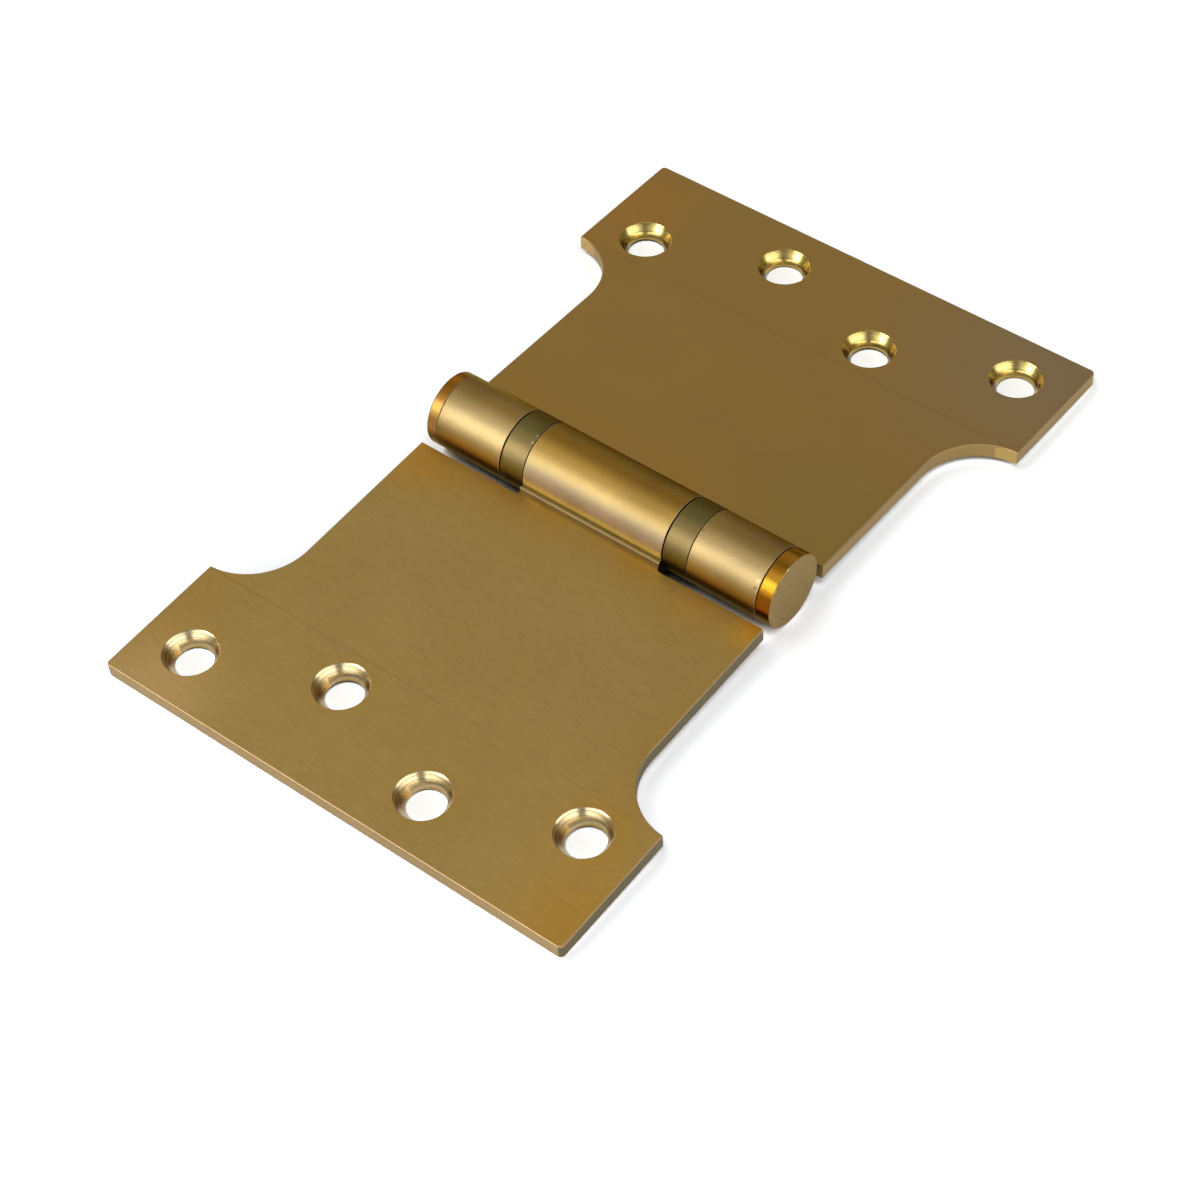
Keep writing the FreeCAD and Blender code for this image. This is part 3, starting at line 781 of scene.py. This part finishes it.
def metal_finish(
    name, first, second, rough, stroke, shade, bump,
    coat=0.3, rub_and_sheen=0.5, edge=FINE_EDGE, polar=False, shading_round=(), warm=None, stains=None, patches=(),
):
    """A lacquered metal; stroke says how fine its strokes are along X, Y and Z, per metre or radian.

    The tones at angles round the barrel lay painted highlight and shade over the first two, from the barrel's top
    toward the door leaf.
    """
    material = bpy.data.materials.new(name)
    material.use_nodes = True
    tree = material.node_tree
    shader = tree.nodes["Principled BSDF"]
    shader.inputs["Metallic"].default_value = 1.0
    shader.inputs["Coat Weight"].default_value = coat
    shader.inputs["Coat Roughness"].default_value = rough
    place = add(tree, "ShaderNodeTexCoord").outputs["Object"]
    from_axis = {"Vector": place, "Location": (0, 0, -AXIS_HEIGHT * MM)}
    vector = add(tree, "ShaderNodeMapping", from_axis).outputs["Vector"]
    if polar:
        vector = round_the_pin(tree, vector)
    stretched = add(tree, "ShaderNodeMapping", {"Vector": vector, "Scale": stroke}).outputs["Vector"]
    marks = add(tree, "ShaderNodeGroup", {"Vector": stretched}, node_tree=strokes).outputs
    cloudy = {"Vector": place, "Scale": CLOUD_SCALE, "Detail": 3.0}
    clouds = add(tree, "ShaderNodeTexNoise", cloudy).outputs["Fac"]
    colour = mix_colours(tree, clouds, tone(*first), tone(*second))
    # Painted highlight and shade, laid on by the angle round the barrel.
    if shading_round:
        colour = lay_painted_shading(tree, vector, clouds, colour, shading_round)
        shader.inputs["Specular Tint"].default_value = GRAZING_TINT
    if warm:
        mask = add(tree, "ShaderNodeGroup", {"Vector": place, **stains}, node_tree=stain)
        colour = mix_colours(tree, mask.outputs["Mask"], colour, tone(*warm))
    for centre, inner, outer, strength, patch_tone in patches:
        values = {"Vector": place, "Centre": centre, "Inner": inner * MM, "Outer": outer * MM}
        patch = add(tree, "ShaderNodeGroup", values | {"Strength": strength}, node_tree=soft_patch)
        colour = mix_colours(tree, patch.outputs["Mask"], colour, tone(*patch_tone))
    # Edges are painted paler here: partly wear, partly a painted highlight.
    edges = add(tree, "ShaderNodeGroup", {"Vector": place, "Width": edge}, node_tree=rubbed_sheen)
    wear_and_sheen = math_node(tree, "MULTIPLY", edges.outputs["Mask"], rub_and_sheen)
    colour = mix_colours(tree, wear_and_sheen, colour, RUBBED_AND_SHEEN)
    shaded = scale_colour(tree, colour, swing(tree, marks["Shade"], 1.0, shade))
    relief = {"Strength": bump, "Distance": BUMP_DEPTH, "Height": marks["Height"]}
    tree.links.new(shaded, shader.inputs["Base Color"])
    tree.links.new(swing(tree, marks["Shade"], rough, ROUGH_SPREAD), shader.inputs["Roughness"])
    tree.links.new(add(tree, "ShaderNodeBump", relief).outputs["Normal"], shader.inputs["Normal"])
    return material


print("recipe for metals rubbed to", [round(value, 2) for value in RUBBED_AND_SHEEN[:3]])

# %% [markdown]
# What happens in one place only is a soft patch: the warm ring round a screw hole, a dull corner, a scuff, a nick.
# Soft patches also paint shade on the two side walls of each countersink. A patch has a centre, the distance
# within which it is full, the distance at which it ends, its strength and its tone. On the barrel a place is given
# as an angle from its top toward the door leaf.

# %% Patches and nicks
HALO = (5.0, 9.0, 0.4)
SINK_SHADE_REACH = (0.8, 2.2)
SINK_SIDE = 4.5
SINK_MIDDLE = 1.3
SIDEWAYS = Vector((0.639, -0.769, 0.0))


def hole_patches(leaf_name, warm):
    """The warm ring round each of a leaf's screw holes."""
    return [(tuple(mount["pos_m"]), *HALO, warm) for mount in screw_mounts(leaf_name)]


def sink_shade_patches(leaf_name, shade_tone, strength):
    """Painted shade on the two walls of each of a leaf's countersinks that lie across the view."""
    patches = []
    for mount in screw_mounts(leaf_name):
        for way in (1, -1):
            offset = Vector(mount["axis"]) * SINK_MIDDLE + SIDEWAYS * way * SINK_SIDE
            centre = Vector(mount["pos_m"]) + offset * MM
            patches.append((tuple(centre), *SINK_SHADE_REACH, strength, shade_tone))
    return patches


def plate_point(x, y):
    """A point on the plates' faces, in metres; x is below 0 on the door leaf."""
    drop = FACE_DROP + abs(x) * math.tan(tilt)
    return (x * MM, y * MM, (AXIS_HEIGHT - drop) * MM)


def barrel_point(degrees, y):
    """A point on the barrel, this far round from its top toward the door leaf."""
    angle = math.radians(degrees)
    return (-math.sin(angle) * barrel_rad * MM, y * MM, (AXIS_HEIGHT + math.cos(angle) * barrel_rad) * MM)


DOOR_WARM = (150, 112, 38)
FRAME_WARM = (142, 103, 36)
door_patches = hole_patches("door", DOOR_WARM)
door_patches += [
    (plate_point(-79, 40), 0.0, 20.0, 0.5, (178, 144, 96)),
    (plate_point(-66, -44), 0.0, 30.0, 0.25, (168, 130, 60)),
    (plate_point(-10, -37), 0.0, 7.5, 0.7, (184, 130, 22)),
    (plate_point(-9, -26), 0.0, 9.0, 0.35, (168, 114, 30)),
    (plate_point(-14, 36), 0.0, 12.0, 0.35, (160, 112, 30)),
]
frame_patches = hole_patches("frame", FRAME_WARM)
frame_patches += [
    (plate_point(79, -50), 0.0, 52.0, 0.85, (124, 104, 74)),
    (plate_point(14, -34), 0.0, 34.0, 0.7, (124, 101, 46)),
    (plate_point(70, 50), 0.0, 22.0, 0.4, (150, 104, 40)),
]
knuckle_marks = [
    (barrel_point(57, -34.4), 0.1, 0.5, 0.7, (84, 60, 26)),
    (barrel_point(47, -34.5), 0.05, 0.45, 0.3, (204, 184, 140)),
    (barrel_point(20, -20.9), 0.1, 0.5, 0.6, (96, 72, 36)),
]
casing_marks = [
    (barrel_point(99, 20.3), 0.05, 0.3, 0.9, (214, 200, 176)),
    (barrel_point(93, 20.6), 0.05, 0.25, 0.8, (200, 184, 150)),
    (barrel_point(14, 16.4), 0.05, 0.35, 0.5, (170, 156, 112)),
    (barrel_point(26, 16.3), 0.05, 0.4, 0.5, (176, 160, 116)),
]
cap_end_marks = [
    ((-0.0031, -half_barrel * MM, 0.0029), 0.1, 0.5, 0.8, (84, 62, 34)),
    ((-0.0026, -half_barrel * MM, 0.0031), 0.05, 0.35, 0.8, (206, 182, 138)),
    ((-0.0016, -half_barrel * MM, 0.0141), 0.1, 0.45, 0.8, (220, 198, 156)),
    ((-0.0052, -half_barrel * MM, 0.0118), 0.1, 0.35, 0.6, (206, 180, 132)),
]
print("patches", len(door_patches), len(frame_patches))
print("nicks", len(knuckle_marks), len(casing_marks), len(cap_end_marks))

# %% [markdown]
# The tones round the barrel are brass colours at a few angles from its top, toward the door leaf down to the
# underside, with painted highlight and shade in them: lighter where the lamps fall on the barrel and darker where
# they don't. They were tried out and changed until test renders came close to the photograph. The middle knuckle
# is painted palest low toward the door, the two end knuckles are more even, the caps are polished and deep orange,
# and the casings are the olive of bare turned metal.

# %% Tones and painted highlight and shade round the barrel
MIDDLE_TONES_AND_SHADING = (
    (-40, (115, 70, 5)), (-20, (130, 100, 40)), (0, (120, 85, 25)), (20, (135, 105, 45)),
    (45, (130, 110, 65)), (80, (140, 125, 105)), (100, (240, 225, 120)),
)
END_TONES_AND_SHADING = (
    (-40, (130, 90, 20)), (-20, (130, 100, 55)), (0, (120, 95, 45)), (36, (140, 120, 80)),
    (60, (130, 110, 70)), (80, (120, 95, 40)), (100, (75, 30, 0)),
)
NEAR_CAP_TONES_AND_SHADING = (
    (-40, (135, 80, 0)), (-15, (135, 90, 20)), (20, (100, 65, 0)), (32, (140, 100, 25)),
    (45, (105, 85, 10)), (60, (110, 65, 0)), (80, (100, 65, 0)), (100, (90, 20, 0)),
)
FAR_CAP_TONES_AND_SHADING = (
    (-40, (70, 40, 15)), (-20, (155, 100, 35)), (0, (125, 75, 5)), (20, (100, 65, 5)),
    (32, (135, 90, 35)), (46, (105, 85, 35)), (60, (120, 90, 40)), (80, (165, 115, 55)), (100, (45, 10, 5)),
)
RING_TONES_AND_SHADING = (
    (-40, (80, 55, 15)), (0, (85, 75, 35)), (30, (95, 80, 45)), (60, (100, 85, 50)),
    (80, (80, 70, 20)), (100, (60, 25, 0)),
)
print("tones round the barrel end at", MIDDLE_TONES_AND_SHADING[-1][0], "degrees and fade over", FADE_LENGTH)

# %% [markdown]
# Each finish is now the recipe with its own values: a name, two tones, roughness, stroke, and how much
# the strokes shade and raise the surface. The strokes follow how each surface was made: drawn along the leaf,
# turned round the barrel, chattered down the countersinks, sawn across the ends, and without a direction
# where it was tumbled or drilled. The second table adds what only some finishes have.

# %% The finishes
ALONG = (3200.0, 260.0, 3200.0)
ROUND = (1.2, 9000.0, 1.0)
DRAWN = (22.0, 2400.0, 1.0)
GRITTY = (900.0, 900.0, 900.0)
CHATTER = (25.0, 25.0, 2400.0)
SAWN = (900.0, 900.0, 2600.0)
DOOR_STAINS = {"Near End": 1.0, "Far End": 0.4, "Barrel": 1.0}
FRAME_STAINS = {"Near End": 0.2, "Far End": 0.9, "Barrel": 0.6}
MATT = {"coat": 0.0, "rub_and_sheen": 0.0}
SATIN = {"coat": 0.15, "rub_and_sheen": 0.0}
# Knuckles and casings get the strongest pale edges, partly wear and partly a painted highlight at their ends.
WORN_WITH_SHEEN = {"coat": 0.1, "rub_and_sheen": 1.0, "edge": TURNED_EDGE, "polar": True}
RECIPES = {
    "door_face": ("brushed_door_face", (146, 120, 66), (137, 112, 58), 0.40, ALONG, 0.14, 0.15),
    "frame_face": ("brushed_frame_face", (137, 107, 51), (128, 99, 44), 0.42, ALONG, 0.06, 0.07),
    "drawn_edge": ("drawn_edge", (176, 149, 98), (158, 132, 82), 0.45, ALONG, 0.12, 0.08),
    "sawn_end": ("sawn_end", (123, 112, 81), (103, 92, 64), 0.58, SAWN, 0.2, 0.3),
    "milled_end": ("milled_end", (170, 144, 90), (152, 126, 74), 0.50, SAWN, 0.12, 0.12),
    "arris": ("rubbed_arris", (158, 128, 86), (138, 110, 70), 0.45, GRITTY, 0.1, 0.05),
    "end_arris": ("end_arris", (166, 140, 94), (146, 118, 72), 0.45, GRITTY, 0.1, 0.05),
    "milled_arris": ("milled_arris", (160, 130, 80), (142, 112, 62), 0.42, GRITTY, 0.1, 0.05),
    "knuckle_middle": ("knuckle_middle", (140, 114, 64), (130, 104, 55), 0.42, DRAWN, 0.26, 0.14),
    "knuckle_end": ("knuckle_end", (140, 114, 66), (130, 104, 57), 0.42, DRAWN, 0.24, 0.14),
    "bead": ("bead_satin", (104, 86, 52), (90, 73, 43), 0.45, ALONG, 0.2, 0.1),
    "sink_pale": ("countersink_pale", (204, 187, 147), (194, 175, 133), 0.26, CHATTER, 0.12, 0.04),
    "sink_gold": ("countersink_gold", (202, 182, 112), (192, 170, 98), 0.23, CHATTER, 0.08, 0.02),
    "land": ("bore_drilled", (198, 168, 106), (184, 154, 92), 0.45, GRITTY, 0.1, 0.1),
    "cap_near_side": ("cap_near_polished", (134, 84, 10), (128, 80, 8), 0.25, ROUND, 0.06, 0.04),
    "cap_far_side": ("cap_far_polished", (138, 92, 32), (132, 88, 28), 0.27, ROUND, 0.06, 0.04),
    "cap_face": ("cap_face_matt", (156, 131, 78), (143, 117, 68), 0.55, GRITTY, 0.2, 0.12),
    "casing": ("casing_turned", (106, 89, 50), (95, 78, 42), 0.40, ROUND, 0.24, 0.12),
    # The inside finish is near-black painted shade, for faces in the seams and round the bore.
    "inside": ("inside_painted_shade", (50, 38, 20), (38, 28, 14), 0.6, ALONG, 0.1, 0.1),
}
EXTRAS = {
    "door_face": SATIN | {"warm": DOOR_WARM, "stains": DOOR_STAINS, "patches": door_patches},
    "frame_face": SATIN | {"warm": FRAME_WARM, "stains": FRAME_STAINS, "patches": frame_patches},
    "knuckle_middle": WORN_WITH_SHEEN | {"shading_round": MIDDLE_TONES_AND_SHADING},
    "knuckle_end": WORN_WITH_SHEEN | {"shading_round": END_TONES_AND_SHADING, "patches": knuckle_marks},
    "bead": {"coat": 0.1},
    # Both countersink finishes carry painted shade on the walls to either side.
    "sink_pale": MATT | {"patches": sink_shade_patches("door", (120, 78, 10), 0.75)},
    "sink_gold": MATT | {"patches": sink_shade_patches("frame", (84, 58, 14), 0.9)},
    "land": MATT,
    "cap_near_side": {"coat": 0.08, "rub_and_sheen": 0.2, "polar": True, "shading_round": NEAR_CAP_TONES_AND_SHADING},
    "cap_far_side": {"coat": 0.12, "rub_and_sheen": 0.2, "polar": True, "shading_round": FAR_CAP_TONES_AND_SHADING},
    "cap_face": {"coat": 0.1, "patches": cap_end_marks},
    "casing": WORN_WITH_SHEEN | {"rub_and_sheen": 0.8, "shading_round": RING_TONES_AND_SHADING, "patches": casing_marks},
    "inside": MATT,
}
finishes = {name: metal_finish(*recipe, **EXTRAS.get(name, {})) for name, recipe in RECIPES.items()}
print("finishes", len(finishes))

# %% [markdown]
# One piece of brass carries several finishes: the brushed face, the sawn edge, the rubbed arris, the
# turned knuckle and the bright countersink. Each face is sorted by where it is and which way it points,
# and gets the material slot of its finish.

# %% Finishes on the leaves
FLAT = 0.985
STEEP = 0.25
LONG_SIDE = 0.93
SINK_MARGIN = 0.28
BORE_MARGIN = 1.0
CASING_MARGIN = 0.088


def leaf_finish(face, spots, knuckles):
    """The finish of one face of a leaf as drawn."""
    place = face.calc_center_median()
    tip = abs(face.normal.z)
    from_axis = math.hypot(place.x, place.z)
    for x, y in spots:
        if math.hypot(place.x - x, place.y - y) < SINK_RAD + SINK_MARGIN and tip < FLAT:
            return "land" if tip < STEEP else "sink"
    if from_axis < PIN_BORE + BORE_MARGIN:
        return "inside"
    if place.x < BEAD_REACH - TOUCH or from_axis < barrel_rad + TOUCH:
        at_end = any(abs(place.y - end) < KNUCKLE_ARRIS for span in knuckles for end in span)
        # Knuckle ends that face along the pin lie in the seams and get the near-black painted shade.
        if at_end and abs(face.normal.y) > STEEP:
            return "arris" if abs(face.normal.y) < FLAT else "inside"
        return "knuckle" if from_axis < barrel_rad + TOUCH else "bead"
    if tip > FLAT:
        return "face"
    if face.normal.x < -LONG_SIDE:
        return "land"
    sideways = abs(face.normal.x) > LONG_SIDE * math.hypot(face.normal.x, face.normal.y)
    drawn = sideways and place.x > LEAF_REACH - CORNER_ROUND
    if tip > STEEP:
        return "arris" if drawn else "end_arris"
    return "drawn_edge" if drawn else "sawn_end"


def paint(piece, sort, looks):
    """Gives every face the material that sort names; looks maps those names to materials."""
    piece.data.materials.clear()
    for look in looks.values():
        piece.data.materials.append(look)
    counts = {}
    for number, look in enumerate(looks):
        counts[look] = select(piece, "FACE", lambda face: sort(face) == look)
        piece.active_material_index = number
        bpy.ops.object.material_slot_assign()
    bpy.ops.object.mode_set(mode="OBJECT")
    return counts


DOOR_LOOKS = {"face": "door_face", "sink": "sink_pale", "knuckle": "knuckle_middle"}
DOOR_LOOKS |= {"sawn_end": "sawn_end", "end_arris": "end_arris"}
FRAME_LOOKS = {"face": "frame_face", "sink": "sink_gold", "knuckle": "knuckle_end"}
FRAME_LOOKS |= {"sawn_end": "milled_end", "end_arris": "milled_arris"}
for leaf, own_looks, knuckles in (
    (door_leaf, DOOR_LOOKS, door_knuckles),
    (frame_leaf, FRAME_LOOKS, frame_knuckles),
):
    looks = {sort: finishes[name] for sort, name in own_looks.items()}
    for name in ("land", "drawn_edge", "arris", "bead", "inside"):
        looks[name] = finishes[name]
    spots = holes[leaf.name]
    print(leaf.name, paint(leaf, lambda face: leaf_finish(face, spots, knuckles), looks))

# %% [markdown]
# The caps were polished on the side and left matt on their end. The casings were turned all over. The fine step at
# each end of a casing, like every face in the seams and round the bore, is painted near black as painted shade.
# These pieces still stand upright in the hinge's own directions, so a face is sorted by its distance from the
# pin's axis.

# %% Finishes on the caps and casings


def cap_finish(face):
    """The finish of one face of a cap."""
    place = face.calc_center_median()
    from_axis = math.hypot(place.x, place.z)
    if from_axis > barrel_rad - CAP_EDGE and abs(face.normal.y) < FLAT:
        return "cap_side" if abs(face.normal.y) < STEEP else "cap_face"
    outer_end = abs(place.y) > half_barrel - CAP_EDGE
    return "cap_face" if outer_end else "inside"


def casing_finish(face):
    """The finish of one face of a casing."""
    place = face.calc_center_median()
    outside = math.hypot(place.x, place.z) > barrel_rad - CASING_MARGIN
    return "casing" if outside and abs(face.normal.y) < FLAT else "inside"


for name, piece in pieces.items():
    if name.startswith("cap"):
        looks = {"cap_side": finishes[name + "_side"], "cap_face": finishes["cap_face"]}
        looks |= {"inside": finishes["inside"]}
        print(name, paint(piece, cap_finish, looks))
    else:
        looks = {"casing": finishes["casing"], "inside": finishes["inside"]}
        print(name, paint(piece, casing_finish, looks))

# %% [markdown]
# Now each piece goes to its place in the frame. The leaves are tilted down from the pin, and the door
# leaf is turned half round as well. Smooth shading with weighted normals keeps the flats flat and lets
# the fine rounds catch a line of light.

# %% Into the frame
SMOOTH = math.radians(35)


def into_frame(piece, turn):
    """Turns a finished piece about the pin's axis and brings it to metres, with its place in its mesh."""
    pick_up(piece)
    piece.data.transform(turn.to_4x4())
    piece.data.transform(Matrix.Translation((0, 0, AXIS_HEIGHT)))
    piece.data.transform(Matrix.Scale(MM, 4))
    bpy.ops.object.shade_smooth_by_angle(angle=SMOOTH)
    normals = piece.modifiers.new("even_normals", "WEIGHTED_NORMAL")
    normals.keep_sharp = True
    bpy.ops.object.modifier_apply(modifier="even_normals")
    return piece


unturned = Matrix.Identity(3)
into_frame(frame_leaf, Matrix.Rotation(tilt, 3, "Y"))
into_frame(door_leaf, Matrix.Rotation(-tilt, 3, "Y") @ Matrix.Rotation(math.pi, 3, "Z"))
for piece in pieces.values():
    into_frame(piece, unturned)
pieces["frame_leaf"] = frame_leaf
pieces["door_leaf"] = door_leaf
for name, piece in pieces.items():
    low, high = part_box(name)
    gaps = []
    for axis in range(3):
        values = [vertex.co[axis] for vertex in piece.data.vertices]
        gaps += [abs(min(values) - low[axis]), abs(max(values) - high[axis])]
    print(name, "differs from the CAD box by", round(max(gaps) / MM, 3), "mm")

# %% [markdown]
# Inside the barrel are the pin and two ball bearings, each with two races, a cage and its balls. They
# hardly show, but they are real steel and brass, so they get finishes of the same kind.

# %% Finishes of the hidden pieces
INNER_FINISHES = {
    "pin": ("pin_steel", (186, 186, 182), (170, 170, 166), 0.3, ROUND, 0.06, 0.05),
    "race": ("race_ground", (180, 180, 178), (164, 164, 162), 0.28, ROUND, 0.06, 0.05),
    "cage": ("cage_brass", (190, 156, 88), (172, 138, 72), 0.38, ROUND, 0.08, 0.08),
    "ball": ("ball_polished", (206, 206, 206), (198, 198, 198), 0.12, GRITTY, 0.02, 0.01),
}
inner = {
    kind: metal_finish(*recipe, coat=0.0, polar=recipe[4] == ROUND) for kind, recipe in INNER_FINISHES.items()
}
for name, node in frame["nodes"].items():
    look = inner.get(name.split("_")[0])
    if look:
        node.data.materials.clear()
        node.data.materials.append(look)
print("inner finishes on", sum(name.split("_")[0] in inner for name in frame["nodes"]), "nodes")

# %% [markdown]
# The photograph looks down on the hinge from in front and to the left with a long lens. The camera's
# place and turn come from matching the model's own corners, holes and seams to it.

# %% Camera
CAMERA_PLACE = Vector((-276.9, -229.95, 390.7)) * MM
CAMERA_TURN = (41.150, 2.196, -52.143)
CAMERA_LENS = 88.96
CLIP_START = 0.01
camera_data = bpy.data.cameras.new("camera")
camera_data.lens = CAMERA_LENS
camera_data.clip_start = CLIP_START
camera = bpy.data.objects.new("camera", camera_data)
bpy.context.scene.collection.objects.link(camera)
camera.location = CAMERA_PLACE
camera.rotation_euler = Euler([math.radians(angle) for angle in CAMERA_TURN])
bpy.context.scene.camera = camera
print("camera", [round(value, 3) for value in camera.location])

# %% [markdown]
# The table is white and without an end. The camera sees it a little brighter than the hinge does, as where a
# picture's white point is set on the paper. So the open table is pure white, and only the shadows close to the
# hinge show. What the camera sees of the table is painted from ambient occlusion, which tells how much is open
# over a point: the narrow slots beside the barrel are painted dark, the floor seen through the screw holes is
# painted bright, and the strips close beside a plate, where the lamps reach less, are evened out a little with
# painted light.

# %% Table
TABLE_SIZE = 4.0
TABLE_WHITE = 0.9
TABLE_SEEN = 1.14
NEARBY = 0.008
AO_SAMPLES = 32
# Grey levels by openness, painted on the table: near black in the slots and brightest at the openness found in the
# screw holes.
PAINTED_LIGHT_AND_SHADE_STEPS = (
    (0.0, (0.01, 0.01, 0.008)), (0.10, (0.02, 0.02, 0.017)), (0.20, (0.58, 0.56, 0.49)),
    (0.34, (0.92, 0.945, 0.98)), (0.50, (0.74, 0.755, 0.775)), (0.62, (0.52, 0.525, 0.53)),
    (0.76, (0.49, 0.495, 0.505)), (0.88, (0.52, 0.525, 0.53)), (1.0, (0.54, 0.54, 0.54)),
)
bpy.ops.object.select_all(action="DESELECT")
bpy.ops.mesh.primitive_plane_add(size=TABLE_SIZE, location=(0, 0, 0))
table = bpy.context.object
table.name = "table"
table_white = bpy.data.materials.new("table_white")
table_white.use_nodes = True
tree = table_white.node_tree
tree.nodes.remove(tree.nodes["Principled BSDF"])
openness = add(tree, "ShaderNodeAmbientOcclusion", {"Distance": NEARBY}, samples=AO_SAMPLES).outputs["AO"]
shade = colour_ramp(tree, openness, [(place, level, 1) for place, level in PAINTED_LIGHT_AND_SHADE_STEPS])
seen = scale_colour(tree, shade["Color"], TABLE_SEEN / PAINTED_LIGHT_AND_SHADE_STEPS[-1][1][0])
from_camera = add(tree, "ShaderNodeLightPath").outputs["Is Camera Ray"]
colour = mix_colours(tree, from_camera, (TABLE_WHITE, TABLE_WHITE, TABLE_WHITE, 1.0), seen)
paper = add(tree, "ShaderNodeBsdfDiffuse", {"Color": colour})
tree.links.new(paper.outputs["BSDF"], tree.nodes["Material Output"].inputs["Surface"])
table.data.materials.append(table_white)
print("table", TABLE_SIZE, "m")

# %% [markdown]
# Metal shows what is round it, so the lamps are set by where the hinge mirrors them. The countersinks'
# cones tell most: each wall faces another way, and two of them are bright with a dark one between. So
# there were two low soft boxes, to the left and to the right of the camera. The foot of a cone mirrors its
# other side, which mirrors the one box over the table. A smaller, brighter box on the left makes the
# highlight along the barrel; metal mirrors it, but its light is kept off the table. The plates mirror none
# of these, only two dimmer panels, beyond the hinge and above it.

# %% Lamps and room
HINGE_MIDDLE = Vector((0, 0, AXIS_HEIGHT * MM))


def lamp(name, direction, distance, wide, high, radiance, colour=(1.0, 1.0, 1.0)):
    """An oblong soft box that faces the hinge; radiance 1 is the light of a white page."""
    data = bpy.data.lights.new(name, "AREA")
    data.color = colour
    data.shape = "RECTANGLE"
    data.size = wide
    data.size_y = high
    data.energy = radiance * math.pi * wide * high
    holder = bpy.data.objects.new(name, data)
    bpy.context.scene.collection.objects.link(holder)
    away = Vector(direction).normalized()
    holder.location = HINGE_MIDDLE + away * distance
    holder.rotation_euler = away.to_track_quat("Z", "Y").to_euler()
    return holder


BOX_COLOUR = (0.98, 1.0, 1.06)
left_box = lamp("left_box", (-0.735, 0.42, 0.532), 1.0, 0.5, 0.44, 9.6, BOX_COLOUR)
left_box.visible_diffuse = False
lamp("left_low_box", (-0.963, 0.135, 0.235), 1.0, 1.40, 0.36, 3.0)
lamp("right_box", (-0.01, -0.975, 0.24), 1.0, 1.44, 0.40, 3.0)
lamp("top_box", (-0.192, -0.160, 1.0), 1.2, 0.86, 0.46, 4.6)
lamp("far_panel", (0.56, 0.45, 0.70), 1.2, 1.2, 0.9, 0.79)
lamp("upper_panel", (-0.20, 0.44, 0.875), 1.2, 0.8, 0.7, 1.7)
ROOM_LEVEL = 0.27
ROOM_TINT = (0.95, 0.98, 1.0, 1.0)
world = bpy.data.worlds.new("room")
bpy.context.scene.world = world
world.use_nodes = True
tree = world.node_tree
background = tree.nodes["Background"]
from_camera = add(tree, "ShaderNodeLightPath").outputs["Is Camera Ray"]
level = map_range(tree, from_camera, 0.0, 1.0, ROOM_LEVEL)
tint = mix_colours(tree, from_camera, ROOM_TINT, (1.0, 1.0, 1.0, 1.0))
tree.links.new(level, background.inputs["Strength"])
tree.links.new(tint, background.inputs["Color"])
bpy.context.scene.view_settings.view_transform = "Standard"
print("lamps", [light.name for light in bpy.data.lights])

# %% [markdown]
# Last, each piece is attached to the body it turns with, and the CAD node it stands for is hidden.

# %% Hand over
BODY_OF = {"door_leaf": "door_side"}
for name, piece in pieces.items():
    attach(piece, BODY_OF.get(name, "frame_side"))
    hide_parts(name)
